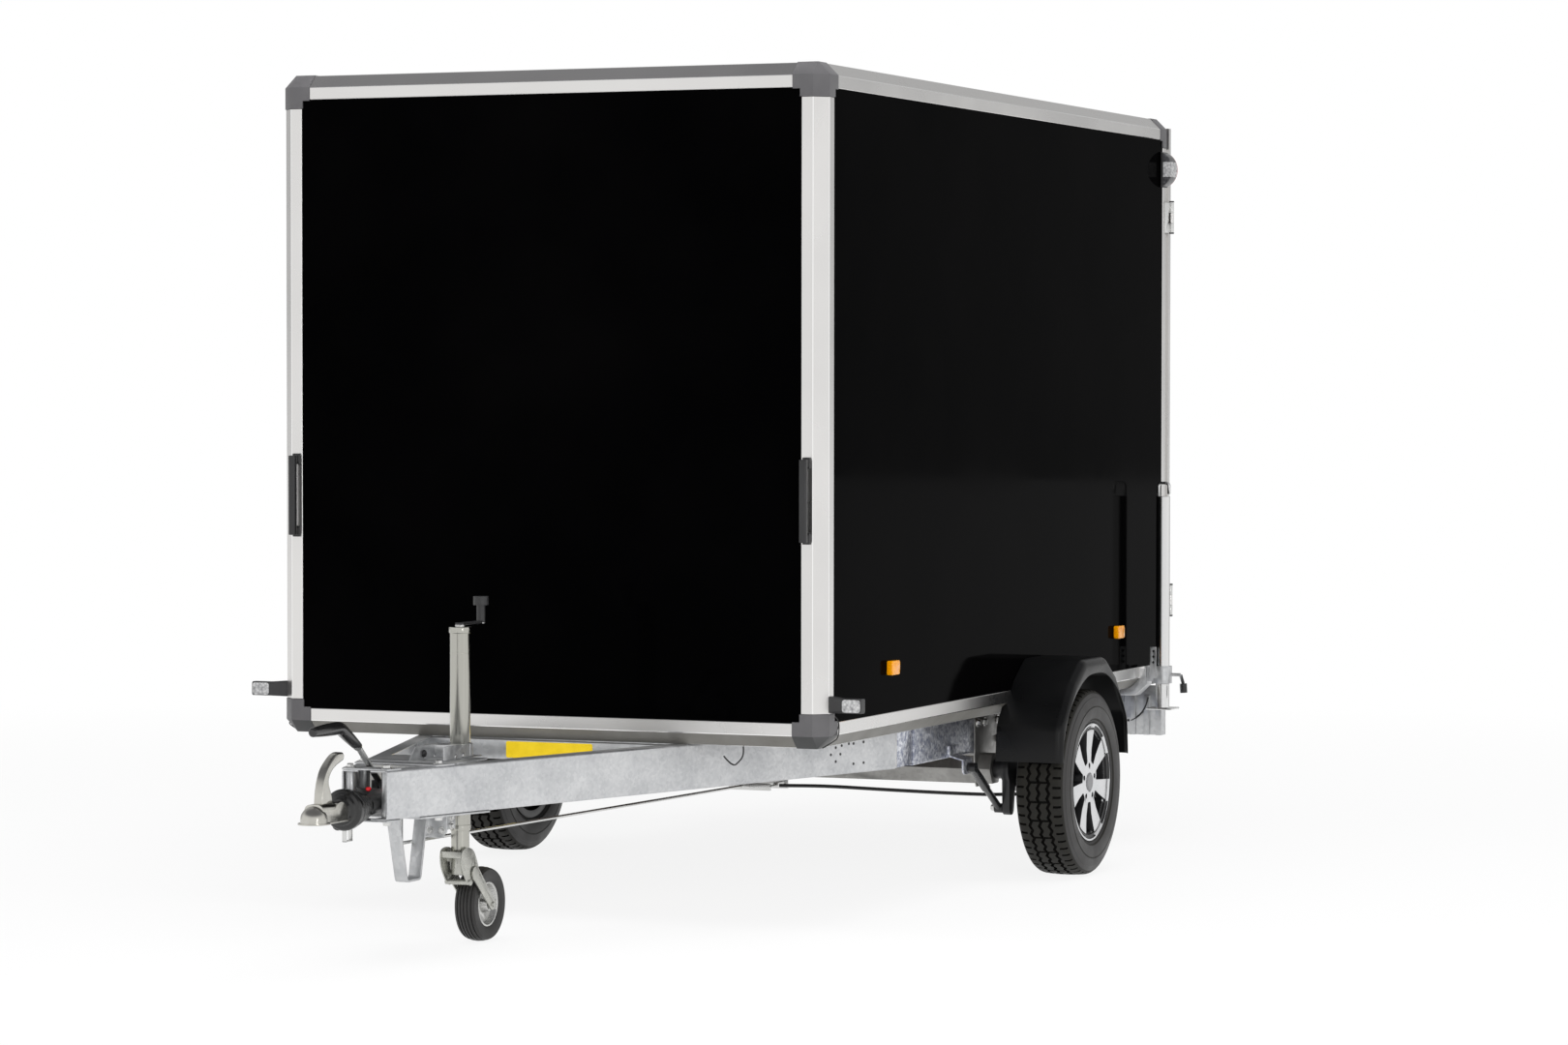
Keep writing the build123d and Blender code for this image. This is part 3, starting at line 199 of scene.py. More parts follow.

# ---- Corner extrusions and door frames -----------------------
# Anodised aluminium profiles with a 45 degree outer face, drawn in one length along every edge of
# the box. Fine draw lines run along each of them, and painted shade darkens and dulls the faces that look
# down.


def make_underside_shade_group():
    """Painted shade on the faces that look down: a patchy mask that darkens the colour and dulls the gloss
    and metal below.
    """
    group, new, tie, ins, outs, place = new_group(
        "painted underside shade", ("Roughness", "Shade Roughness", "Amount", "Clean Metal"), ("Color", "Shade Color"),
        ("Color", "Roughness", "Metallic"),
    )
    facing, split = new("ShaderNodeNewGeometry"), new("ShaderNodeSeparateXYZ")
    down, patch, uneven = new("ShaderNodeMapRange"), new("ShaderNodeTexNoise"), new("ShaderNodeMapRange")
    amount, mask = new("ShaderNodeMath"), new("ShaderNodeMath")
    mix, rough, metal = new("ShaderNodeMix"), new("ShaderNodeMix"), new("ShaderNodeMix")
    mix.data_type = "RGBA"
    amount.operation = mask.operation = "MULTIPLY"
    down.inputs["From Min"].default_value, down.inputs["From Max"].default_value = -0.35, -0.65
    patch.inputs["Scale"].default_value = 7.0
    patch.inputs["Detail"].default_value = 5.0
    uneven.inputs["To Min"].default_value, uneven.inputs["To Max"].default_value = 0.8, 1.08
    tie(facing.outputs["Normal"], split.inputs["Vector"])
    tie(split.outputs["Z"], down.inputs["Value"])
    tie(place.outputs["Object"], patch.inputs["Vector"])
    tie(patch.outputs["Fac"], uneven.inputs["Value"])
    tie(uneven.outputs["Result"], amount.inputs[0])
    tie(ins.outputs["Amount"], amount.inputs[1])
    tie(amount.outputs["Value"], mask.inputs[0])
    tie(down.outputs["Result"], mask.inputs[1])
    mask.use_clamp = True
    for blend, low, high in ((mix, "Color", "Shade Color"), (rough, "Roughness", "Shade Roughness")):
        tie(mask.outputs["Value"], blend.inputs["Factor"])
        tie(ins.outputs[low], blend.inputs["A"])
        tie(ins.outputs[high], blend.inputs["B"])
    tie(mask.outputs["Value"], metal.inputs["Factor"])
    tie(ins.outputs["Clean Metal"], metal.inputs["A"])
    metal.inputs["B"].default_value = 0.0
    tie(mix.outputs["Result"], outs.inputs["Color"])
    tie(rough.outputs["Result"], outs.inputs["Roughness"])
    tie(metal.outputs["Result"], outs.inputs["Metallic"])
    return group


underside_shade = make_underside_shade_group()


def shaded_below(finish, shade_tone, amount, rough):
    """Puts painted shade on the faces that look down, over a finish that already has its own grain."""
    shader = shader_of(finish)
    under = [shader.inputs[label].links[0].from_socket for label in ("Base Color", "Roughness")]
    group = place_group(finish, underside_shade, {
        "Shade Color": shade_tone, "Shade Roughness": rough, "Amount": amount,
        "Clean Metal": shader.inputs["Metallic"].default_value,
    }, ("Color", "Roughness", "Metallic"))
    for start, label in zip(under, ("Color", "Roughness")):
        finish.node_tree.links.new(start, group.inputs[label])
    return finish


def satin_aluminium(name):
    return grained(
        name, (0.70, 0.69, 0.68), (0.76, 0.75, 0.735), (0.24, 0.34), metallic=1.0, blotch=2.0, grain=260,
        bump=0.03,
    )


anodised = satin_aluminium("anodised aluminium")
dress(anodised, "door_frame_left", "door_frame_right")
# The sill's faces that look down get painted shade.
sill_aluminium = shaded_below(satin_aluminium("anodised aluminium sill"), (0.125, 0.120, 0.105), 0.97, 0.5)

BODY_OF = {node: body for body, nodes in frame["record"]["behaviour"]["bodies"].items() for node in nodes}


def put_piece(name, bm, finishes, body, nodes=(), angle=35):
    """Turns a finished bmesh into a piece of the trailer that rides on its body."""
    for face in bm.faces:
        face.smooth = True
    mesh = bpy.data.meshes.new(name)
    bm.to_mesh(mesh)
    bm.free()
    mesh.set_sharp_from_angle(angle=math.radians(angle))
    for finish in finishes:
        mesh.materials.append(finish)
    piece = bpy.data.objects.new(name, mesh)
    bpy.context.collection.objects.link(piece)
    if nodes:
        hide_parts(*nodes)
    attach(piece, body)


def merged_copy(node):
    """A CAD node's mesh with its loose triangles joined into whole faces."""
    bm = bmesh.new()
    bm.from_mesh(frame["nodes"][node].data)
    bmesh.ops.remove_doubles(bm, verts=bm.verts, dist=2e-5)
    bmesh.ops.dissolve_limit(bm, angle_limit=math.radians(1.5), verts=bm.verts, edges=bm.edges)
    return bm


def sharp_edges(bm, limit):
    """The edges where two faces meet at more than so many degrees."""
    return [e for e in bm.edges if len(e.link_faces) == 2 and e.calc_face_angle(0) > math.radians(limit)]


def round_edges(bm, edges, width, segments=2):
    bmesh.ops.bevel(
        bm, geom=edges, offset=width, offset_type="OFFSET", segments=segments, profile=0.5, affect="EDGES",
        clamp_overlap=True, material=-1,
    )


def part_faces(bm, point, normal):
    """Parts the faces along a plane, so that each side can have its own finish."""
    bmesh.ops.bisect_plane(bm, geom=bm.verts[:] + bm.edges[:] + bm.faces[:], plane_co=point, plane_no=normal)


def softened(node, width, *finishes, segments=2, limit=30, cuts=(), paint=None, angle=35):
    """A copy of a CAD node with its edges rounded as the moulding or casting has them.

    Each cut is a (point, normal) plane that parts the faces, so that paint can give each its finish."""
    bm = merged_copy(node)
    round_edges(bm, sharp_edges(bm, limit), width, segments)
    for point, normal in cuts:
        part_faces(bm, point, normal)
    for face in bm.faces:
        face.material_index = paint(face) if paint else 0
    put_piece(node + "_rounded", bm, finishes, BODY_OF[node], (node,), angle)


# A brighter aluminium for the narrow edge strips: a painted highlight along each edge.
edge_highlight_metal = grained(
    "aluminium with painted edge highlight", (0.90, 0.90, 0.89), (0.95, 0.95, 0.94), (0.16, 0.24), metallic=1.0,
    blotch=3.0, grain=260, bump=0.02,
)


def edge_highlight_tone(face):
    """The narrow edge strip between a flat face and the 45 degree face gets a painted highlight, brighter
    than both.
    """
    return 1 if 0.25 < sorted(abs(part) for part in face.normal)[1] < 0.55 else 0


for node, metal in (
    ("front_posts", anodised), ("rear_posts", anodised), ("top_rails", anodised),
    ("bottom_rails", sill_aluminium),
):
    softened(node, 0.002, metal, edge_highlight_metal, segments=1, limit=20, paint=edge_highlight_tone, angle=12)
box_front, box_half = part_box("front_posts")[1].x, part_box("front_posts")[1].y
box_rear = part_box("rear_posts")[0].x
sill_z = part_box("bottom_rails")[0].z

# ---- Corner caps ---------------------------------------------
# Dark grey moulded caps plugged into the ends of the three extrusions that meet at each corner.

# The caps' faces that look down get painted shade, darker and duller below.
cap_plastic = shaded_below(
    grained(
        "dark grey plastic", (0.082, 0.080, 0.084), (0.105, 0.102, 0.106), (0.34, 0.46), blotch=8, grain=1500,
        bump=0.12,
    ),
    (0.022, 0.024, 0.024), 0.95, 0.45,
)
softened("corner_caps", 0.004, cap_plastic, segments=3)

# ---- Grab handles --------------------------------------------
# Injection-moulded black grips, each held to its front post by two countersunk screws.

black_plastic = grained(
    "black plastic", (0.012, 0.012, 0.0125), (0.02, 0.02, 0.021), (0.3, 0.42), blotch=6, grain=1800,
    bump=0.15,
)
softened("grab_handles", 0.003, black_plastic)
screw_steel = grained(
    "stainless screws", (0.55, 0.55, 0.54), (0.68, 0.67, 0.66), (0.2, 0.32), metallic=1.0, blotch=60,
    grain=2500,
)


def turn_to(direction):
    """The turn that takes +Z to a direction."""
    return Vector((0, 0, 1)).rotation_difference(Vector(direction)).to_matrix().to_4x4()


def add_disc(bm, place, direction, radius, top, high, segments=24, lift=0.0):
    """A plate that stands on a place, or a lift above it, and narrows from its radius to its top."""
    return bmesh.ops.create_cone(
        bm, cap_ends=True, segments=segments, radius1=radius, radius2=top, depth=high,
        matrix=Matrix.Translation(place) @ turn_to(direction) @ Matrix.Translation((0, 0, lift + high / 2)),
    )["verts"]


def add_screw(bm, place, direction, radius, high):
    """A flat countersunk screw head with its drive recess."""
    made = add_disc(bm, place, direction, radius, 0.8 * radius, high, segments=20)
    faces = [f for v in made for f in v.link_faces]
    lid = max(faces, key=lambda f: f.calc_center_median().dot(Vector(direction)))
    bmesh.ops.inset_region(bm, faces=[lid], thickness=0.35 * radius, depth=-0.4 * high)


bm = bmesh.new()
handle_low, handle_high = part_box("grab_handles")
screw_y, screw_inset, screw_high = handle_high.y - 0.012, 0.017, 0.0004
for side in (-1, 1):
    for z in (handle_low.z + screw_inset, handle_high.z - screw_inset):
        add_screw(bm, (handle_high.x - screw_high, side * screw_y, z), (1, 0, 0), 0.0055, screw_high)
put_piece("handle_screws", bm, [screw_steel], "trailer")

# ---- Door hinges and lock bars -------------------------------
# Bright zinc-plated steel hinges with black plastic pin caps, and full-height lock bars.

bar_zinc = grained(
    "zinc-plated bar", (0.62, 0.62, 0.61), (0.74, 0.74, 0.73), (0.22, 0.32), metallic=1.0, blotch=6,
    grain=900, bump=0.05,
)
for node in ("door_fixings", "lock_bar_left", "lock_bar_right"):
    softened(node, 0.0012, bar_zinc)
bm = bmesh.new()
hinge_x, hinge_y, pin_end = box_rear - 0.0035, box_half + 0.0085, 0.055
for side in (-1, 1):
    for middle in (sill_z + 0.304, cad_box[1].z - 0.357):
        for way in (-1, 1):
            add_disc(
                bm, (hinge_x, side * hinge_y, middle + way * pin_end), (0, 0, way), 0.0098, 0.0086, 0.005,
            )
put_piece("hinge_caps", bm, [black_plastic], "trailer")

# ---- Galvanised chassis --------------------------------------
# Pressed C sections and folded plates, hot-dip galvanised: the zinc cools in crystals, so its tone
# and gloss change from patch to patch, most strongly on the thicker side members.


def make_spangle_group():
    """Zinc crystals and clouds: patches of different tone and gloss."""
    group, new, tie, ins, outs, place = new_group(
        "zinc spangle", ("Crystal Scale", "Cloud Scale", "Cloud Share", "Spread", *PATTERN_VALUES),
    )
    crystal, cloud = new("ShaderNodeTexVoronoi"), new("ShaderNodeTexNoise")
    split, both, spread = new("ShaderNodeSeparateColor"), new("ShaderNodeMix"), new("ShaderNodeMapRange")
    for label, value in (("Detail", 7), ("Roughness", 0.62), ("Distortion", 0.6)):
        cloud.inputs[label].default_value = value
    for noise, scale in ((crystal, "Crystal Scale"), (cloud, "Cloud Scale")):
        tie(place.outputs["Object"], noise.inputs["Vector"])
        tie(ins.outputs[scale], noise.inputs["Scale"])
    tie(crystal.outputs["Color"], split.inputs["Color"])
    tie(ins.outputs["Cloud Share"], both.inputs["Factor"])
    tie(split.outputs["Red"], both.inputs["A"])
    tie(cloud.outputs["Fac"], both.inputs["B"])
    for operation, socket in (("SUBTRACT", "From Min"), ("ADD", "From Max")):
        edge = new("ShaderNodeMath")
        edge.operation = operation
        edge.inputs[0].default_value = 0.5
        tie(ins.outputs["Spread"], edge.inputs[1])
        tie(edge.outputs["Value"], spread.inputs[socket])
    tie(both.outputs["Result"], spread.inputs["Value"])
    tone, gloss = spread.outputs["Result"], split.outputs["Green"]
    return end_group(group, new, tie, ins, outs, tone, gloss, cloud.outputs["Fac"], 0.0005)


zinc_spangle = make_spangle_group()


def zinc(name, dark, light, rough, crystal=70.0, cloud=7.0, share=0.75, spread=0.3, metallic=0.85):
    """A zinc-coated steel finish."""
    patches = {"Crystal Scale": crystal, "Cloud Scale": cloud, "Cloud Share": share, "Spread": spread}
    return patterned(name, zinc_spangle, dark, light, rough, 0.12, patches, metallic)


galvanised = zinc("hot-dip zinc", (0.42, 0.43, 0.44), (0.62, 0.625, 0.63), (0.3, 0.42), cloud=14, spread=0.32)
beam_zinc = zinc(
    "drawbar zinc", (0.45, 0.46, 0.475), (0.70, 0.705, 0.71), (0.32, 0.46), crystal=120, share=0.84,
    spread=0.26,
)
mottled = zinc(
    "mottled zinc", (0.25, 0.27, 0.35), (0.72, 0.735, 0.77), (0.28, 0.46), crystal=110, cloud=36, share=0.66,
    spread=0.17,
)
joint_x = box_front - 0.994


def beam_tone(face):
    """The beam is dipped apart from its tail, whose zinc is as mottled as the side member's."""
    return 1 if face.calc_center_median().x < joint_x else 0


softened("drawbar_beams", 0.003, beam_zinc, mottled, cuts=(((joint_x, 0, 0), (1, 0, 0)),), paint=beam_tone)
softened("side_members", 0.003, mottled)


def add_block(bm, middle, size):
    bmesh.ops.create_cube(bm, size=1, matrix=Matrix.Translation(middle) @ Matrix.Diagonal((*size, 1)))


bm = bmesh.new()
weld_y, weld_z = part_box("drawbar_beams")[1].y - 0.0005, sill_z - 0.0705
for side in (-1, 1):
    add_block(bm, (joint_x - 0.002, side * weld_y, weld_z), (0.006, 0.004, 0.128))
round_edges(bm, bm.edges[:], 0.0015)
put_piece("beam_end_welds", bm, [bar_zinc], "trailer")
for node, width in (
    ("cross_members", 0.002), ("rear_lamp_board", 0.001), ("head_plates", 0.0015), ("support_hoop", 0.0015),
):
    softened(node, width, galvanised)


def add_bolt(bm, place, direction, size):
    """A hexagon head on its washer, sized by width across flats, height and the washer's radius."""
    across, high, washer = size
    washer_high, crown = 0.0018, 0.82 * high
    corner = 0.577 * across
    add_disc(bm, place, direction, washer, 0.94 * washer, washer_high)
    add_disc(bm, place, direction, corner, corner, crown - washer_high, 6, washer_high)
    add_disc(bm, place, direction, corner, 0.86 * corner, high - crown, 6, crown)


def middle_of(node):
    low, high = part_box(node)
    return (low + high) / 2


large_bolt, small_bolt = (0.019, 0.011, 0.016), (0.013, 0.008, 0.011)
plate_low, plate_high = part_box("head_plates")
nose_x, hoop = plate_high.x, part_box("support_hoop")[1]
beam_x, member_y = middle_of("tyre_left").x + 0.128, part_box("side_members")[1].y - 0.048
bm = bmesh.new()
for side in (-1, 1):
    for back, y in ((0.025, 0.058), (0.225, 0.121)):
        add_bolt(bm, (nose_x - back, side * y, plate_high.z), (0, 0, 1), large_bolt)
        add_bolt(bm, (nose_x - back, side * y, plate_low.z), (0, 0, -1), large_bolt)
    for ahead, down in ((0.045, 0.041), (-0.02, 0.041), (-0.15, 0.041), (-0.15, 0.106)):
        add_bolt(bm, (beam_x + ahead, side * member_y, sill_z - down), (0, side, 0), large_bolt)
for ahead in (0.782, 0.732):
    add_bolt(bm, (box_front + ahead, 0.079, sill_z + 0.012), (0, 1, 0), small_bolt)
for y in (0.008, 0.046):
    add_bolt(bm, (nose_x - 0.392, y, hoop.z - 0.058), (1, 0, 0), (0.013, 0.008, 0.012))
for down in (0.046, 0.022):
    add_bolt(bm, (nose_x - 0.423, hoop.y, hoop.z - down), (0, 1, 0), (0.012, 0.007, 0.011))
put_piece("chassis_bolts", bm, [bar_zinc], "trailer")

# Punched holes in the drawbar's web for lamp looms and fittings, closed by small black grommets.
# Each hole's place is its distance behind the box's front and below its sill.
bm = bmesh.new()
web, web_nose_y = Vector((0.30364, 0.95279, 0)), 0.072
for back, down in (
    (0.682, 0.074), (0.705, 0.053), (0.705, 0.097), (0.727, 0.075), (0.733, 0.048), (0.767, 0.044),
    (0.789, 0.045), (0.837, 0.043), (0.789, 0.1095), (0.837, 0.109),
):
    x = box_front - back
    y = web_nose_y + (nose_x - x) * web.x / web.y
    for side in (-1, 1):
        facing = Vector((web.x, side * web.y, 0))
        place = Vector((x, side * y, sill_z - down)) - 0.0003 * facing
        add_disc(bm, place, facing, 0.0048, 0.0042, 0.0012, segments=16)
put_piece("drawbar_grommets", bm, [black_plastic], "trailer")


def edges_along_x(bm):
    return [e for e in bm.edges if abs(e.verts[0].co.x - e.verts[1].co.x) > 1e-4]


# The plate on the front cross member is a bare yellow foil.
yellow_foil = grained(
    "yellow foil", (0.86, 0.60, 0.004), (0.95, 0.68, 0.01), (0.3, 0.42), blotch=30, grain=1200, bump=0.05,
)
bm = bmesh.new()
add_block(bm, (box_front - 0.0196, 0.001, sill_z - 0.0335), (0.0006, 0.294, 0.051))
round_edges(bm, edges_along_x(bm), 0.006, 4)
put_piece("cross_member_foil", bm, [yellow_foil], "trailer")

# ---- Overrun coupling ----------------------------------------
# Pressed and zinc-plated head with its locking lever. A ribbed rubber gaiter covers the sliding
# shaft, and its drain clip hangs below.

plated = zinc(
    "bright zinc plate", (0.42, 0.41, 0.37), (0.66, 0.65, 0.61), (0.16, 0.26), crystal=14, cloud=12,
    share=0.9, spread=0.35, metallic=1.0,
)
softened("coupling_head", 0.0035, plated, segments=3)
softened("coupling_lever", 0.003, plated, segments=3)
gloss_rubber = grained(
    "gloss black rubber", (0.003, 0.003, 0.003), (0.006, 0.006, 0.006), (0.16, 0.26), grain=900, bump=0.06,
    coat=0.3,
)
softened("overrun_gaiter", 0.0028, gloss_rubber, segments=3)
black_paint = grained("black paint", (0.012, 0.012, 0.013), (0.02, 0.02, 0.02), (0.3, 0.42), grain=700)
softened("overrun_housing", 0.002, zinc("sooty zinc", (0.12, 0.12, 0.12), (0.30, 0.30, 0.30), (0.35, 0.5)))

bm = bmesh.new()
gaiter_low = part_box("overrun_gaiter")[0].z
clip_front, clip_long, clip_wide, clip_sheet = box_front + 1.2755, 0.0385, 0.014, 0.003
clip_low, clip_top = gaiter_low - 0.0365, gaiter_low + 0.024
for x, z, long, tall in (
    (clip_front - clip_long / 2, clip_low + clip_sheet / 2, clip_long, clip_sheet),
    (clip_front - clip_sheet / 2, (clip_low + clip_top) / 2, clip_sheet, clip_top - clip_low),
    (clip_front - clip_long + clip_sheet / 2, (clip_low + clip_top) / 2, clip_sheet, clip_top - clip_low),
):
    add_block(bm, (x, -0.019, z), (long, clip_wide, tall))
round_edges(bm, bm.edges[:], 0.0009)
put_piece("gaiter_clip", bm, [bar_zinc], "trailer")

# ---- Handbrake -----------------------------------------------
# Gloss black moulded grip on a plated bar that pivots in the housing, with its red release knob.

grip_black = grained(
    "gloss black grip", (0.006, 0.006, 0.0065), (0.012, 0.012, 0.012), (0.12, 0.22), grain=500, bump=0.05,
    coat=0.4,
)
shaft_z = middle_of("overrun_gaiter").z
bar_foot_z = shaft_z + 0.085


def handbrake_tone(face):
    """Grip above the bend, bright bar below it, and the bar black below bar_foot_z, near the housing."""
    place = face.calc_center_median()
    if place.z > shaft_z + 0.166 and place.x > nose_x - 0.006:
        return 0
    return 1 if place.z > bar_foot_z else 2


softened(
    "handbrake_lever", 0.0015, grip_black, bar_zinc, black_paint, paint=handbrake_tone,
    cuts=(((nose_x - 0.002, 0, shaft_z + 0.165), (0.74, 0, 0.67)), ((0, 0, bar_foot_z), (0, 0, 1))),
)
red_plastic = grained(
    "red plastic", (0.55, 0.01, 0.015), (0.68, 0.015, 0.02), (0.15, 0.25), grain=500, bump=0.05, coat=0.3,
)
bm = bmesh.new()
knob = Vector((nose_x - 0.06, -0.019, shaft_z + 0.043))
bmesh.ops.create_uvsphere(bm, u_segments=20, v_segments=12, radius=0.0085, matrix=(
    Matrix.Translation(knob) @ Matrix.Diagonal((1, 1, 0.85, 1))
))
stem = add_disc(bm, knob + Vector((0, 0, 0.005)), (0, 0, 1), 0.0045, 0.0045, 0.05, segments=16)
for face in {f for v in stem for f in v.link_faces}:
    face.material_index = 1
put_piece("handbrake_release", bm, [red_plastic, black_paint], "trailer")

# ---- Jockey wheel --------------------------------------------
# Standard 60 mm tube in its clamp, brushed and passivated, with a crank on top and a caster fork
# that folds up against the tube. Solid ribbed tyre on a pressed rim.


def make_brushed_group():
    """Fine lines along a drawn tube."""
    group, new, tie, ins, outs, place = new_group("drawn lines", PATTERN_VALUES)
    stretch, line = new("ShaderNodeMapping"), new("ShaderNodeTexNoise")
    stretch.inputs["Scale"].default_value = (420, 420, 3)
    line.inputs["Scale"].default_value = 1.0
    line.inputs["Detail"].default_value = 3
    tie(place.outputs["Object"], stretch.inputs["Vector"])
    tie(stretch.outputs["Vector"], line.inputs["Vector"])
    tone = line.outputs["Fac"]
    return end_group(group, new, tie, ins, outs, tone, tone, tone, 0.0003)


drawn_lines = make_brushed_group()


def drawn(name, color_a, color_b, rough):
    """A drawn or brushed tube's finish."""
    return patterned(name, drawn_lines, color_a, color_b, rough, 0.08, {}, metallic=1.0)


tube_steel = drawn("brushed tube", (0.40, 0.395, 0.355), (0.50, 0.495, 0.455), (0.16, 0.26))
dress(tube_steel, "jockey_inner_tube")
softened("jockey_outer_tube", 0.0015, tube_steel)
softened("jockey_clamp", 0.0015, galvanised)
fork_zinc = zinc(
    "fork zinc", (0.36, 0.36, 0.33), (0.56, 0.56, 0.52), (0.2, 0.32), cloud=16, share=0.85, spread=0.36,
)
softened("jockey_fork", 0.0012, fork_zinc)
grip_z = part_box("jockey_crank")[1].z - 0.078
softened(
    "jockey_crank", 0.003, bar_zinc, black_plastic, segments=3, cuts=(((0, 0, grip_z), (0, 0, 1)),),
    paint=lambda face: 1 if face.calc_center_median().z > grip_z else 0,
)


tube, tube_top = middle_of("jockey_outer_tube"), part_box("jockey_outer_tube")[1].z
bm = bmesh.new()
for down, wide, tall in ((0.0105, 0.0324, 0.004), (0.587, 0.0312, 0.010), (0.077, 0.0303, 0.0014)):
    bmesh.ops.create_cone(
        bm, cap_ends=False, segments=64, radius1=wide, radius2=wide, depth=tall,
        matrix=Matrix.Translation((tube.x, tube.y, tube_top - down)),
    )
bmesh.ops.solidify(bm, geom=bm.faces[:], thickness=0.001)
bmesh.ops.recalc_face_normals(bm, faces=bm.faces)
put_piece("jockey_tube_rings", bm, [tube_steel], "trailer")
bm = bmesh.new()
bung = Vector((tube.x + 0.150, tube.y - 0.0415, sill_z + 0.020))
bmesh.ops.create_uvsphere(bm, u_segments=24, v_segments=14, radius=0.0145, matrix=(
    Matrix.Translation(bung) @ Matrix.Diagonal((0.74, 0.5, 0.74, 1))
))
put_piece("jockey_clamp_bung", bm, [black_plastic], "trailer")


def spin_shell(bm, outline, centre, side, steps, closed):
    """Turns an outline of (along the axle, radius) points in millimetres around the wheel's axle."""
    chain = [bm.verts.new((centre.x, centre.y + side * y / 1000, centre.z + r / 1000)) for y, r in outline]
    following = chain[1:] + (chain[:1] if closed else [])
    edges = [bm.edges.new(pair) for pair in zip(chain, following)]
    bmesh.ops.spin(
        bm, geom=chain + edges, cent=centre, axis=(0, 1, 0), dvec=(0, 0, 0), angle=2 * math.pi, steps=steps,
        use_merge=True, use_duplicate=False,
    )
    bmesh.ops.remove_doubles(bm, verts=bm.verts, dist=1e-5)
    bmesh.ops.recalc_face_normals(bm, faces=bm.faces)


def turned_tyre(name, outline, centre, side, steps, finishes, node, cut=None):
    """A tyre with its tread, in place of the CAD node."""
    bm = bmesh.new()
    spin_shell(bm, outline, centre, side, steps, closed=True)
    if cut:
        cut(bm)
    put_piece(name, bm, finishes, BODY_OF[node], (node,), angle=28)


tyre_rubber = grained(
    "tyre side rubber", (0.019, 0.018, 0.018), (0.030, 0.0285, 0.028), (0.42, 0.58), blotch=12, grain=700,
    bump=0.15,
)
tread_and_ring_shade_rubber = grained(
    "tread rubber with painted ring shade", (0.009, 0.0085, 0.0065), (0.016, 0.015, 0.012), (0.55, 0.7), spec=0.3, blotch=30,
    grain=600, bump=0.2,
)
# Darker rubber in the tread grooves, slots and sipes: painted shade in the recesses.
groove_shade_rubber = grained(
    "rubber with painted groove shade", (0.003, 0.003, 0.0025), (0.006, 0.0055, 0.005), (0.7, 0.85), spec=0.1, blotch=30,
    grain=600, bump=0.2,
)
jockey_rubber = grained(
    "jockey tyre rubber", (0.014, 0.0135, 0.013), (0.024, 0.023, 0.022), (0.45, 0.6), blotch=20, grain=900,
    bump=0.15,
)
half = 32.5
crown = [(-half, 102.5), (-29.5, 104.6)]
for y in (-22, -11, 0, 11, 22):
    top = 110.5 - 8 * (abs(y) / half) ** 2
    crown += [(y - 2, top), (y - 1.3, top - 3), (y + 1.3, top - 3), (y + 2, top)]
crown += [(29.5, 104.6), (half, 102.5)]
turned_tyre(
    "jockey_tyre_ribbed", [(5 - half, 67), (-half, 79)] + crown + [(half, 79), (half - 5, 67)],
    middle_of("jockey_tyre"), 1, 120, [jockey_rubber], "jockey_tyre",
)
rim_zinc = zinc("pressed rim zinc", (0.42, 0.42, 0.41), (0.64, 0.64, 0.62), (0.2, 0.32), cloud=14, share=0.85)
softened("jockey_rim", 0.0015, rim_zinc)

# ---- Road wheels ---------------------------------------------
# Radial tyres with zigzag grooves and slotted shoulders, on cast seven-spoke rims turned bright on
# the face and painted black in the windows, over black brake drums.

tread_outline = [
    (5.6, 313.9), (17, 313.7), (28.6, 313.3), (30, 305.5), (37.4, 305.5), (39.4, 312.7), (50, 312),
    (62, 310.9), (70, 308.8), (76, 304.5), (80.5, 298), (84.5, 288), (85, 286), (87, 284), (90.5, 272),
    (93, 258), (92.2, 256.5), (92.2, 253.5), (93.4, 252), (93.2, 240), (91, 224), (88, 214), (87.2, 211),
    (84, 208), (79, 202), (74, 199.5), (74, 178), (62, 178), (62, 190), (82, 252), (66, 292),
]
tyre_outline = [(-4.2, 305.5), (4.2, 305.5)] + tread_outline + [(-y, r) for y, r in tread_outline[::-1]]
tread_steps = 240
# Bands of the tyre by radius: tread blocks, slots, the floor of the grooves and the ribs above it,
# and the rings on its side. Half widths: the second grooves, the ribs and the whole tread.
tread_low, slot_low, floor_low, rib_low = 0.2985, 0.3035, 0.3045, 0.3105
# The rings on the side take the darker tread rubber: painted shade lines.
side_rings = ((0.2525, 0.2572), (0.2065, 0.2125))
second_groove, rib_half, tread_half = (0.027, 0.041), 0.045, 0.079


def cut_tread(centre):
    """Zigzags the centre groove and its neighbours, then sinks the slots and sipes."""
    step = 2 * math.pi / tread_steps

    def polar(point):
        x, z = point.x - centre.x, point.z - centre.z
        return math.hypot(x, z), math.atan2(z, x)

    def work(bm):
        for vert in bm.verts:
            reach, turn = polar(vert.co)
            u = abs(vert.co.y - centre.y)
            if reach > floor_low and (u < 0.007 or second_groove[0] < u < second_groove[1]):
                phase = round(turn / step) % 4
                vert.co.y += 0.0042 * (phase if phase < 3 else 1) - 0.0042
        slots, sipes = [], []
        for face in bm.faces:
            face.material_index = 0
            middle = face.calc_center_median()
            reach, turn = polar(middle)
            u, number = abs(middle.y - centre.y), math.floor(turn / step + 0.01)
            if reach > tread_low and u < tread_half:
                face.material_index = 2 if reach < rib_low and u < rib_half else 1
            # Painted shade: the side rings take the darker tread rubber.
            elif any(low < reach < high for low, high in side_rings):
                face.material_index = 1
            if reach > slot_low and 0.046 < u < tread_half and number % 4 == 0:
                slots.append(face)
                face.material_index = 2
            elif reach > rib_low and 0.005 < u < 0.029 and number % 8 == 2:
                sipes.append(face)
                face.material_index = 2
        bmesh.ops.inset_region(
            bm, faces=slots, use_boundary=True, use_even_offset=True, thickness=0.0012, depth=-0.005,
        )
        bmesh.ops.inset_region(
            bm, faces=sipes, use_boundary=True, use_even_offset=True, thickness=0.0024, depth=-0.003,
        )

    return work


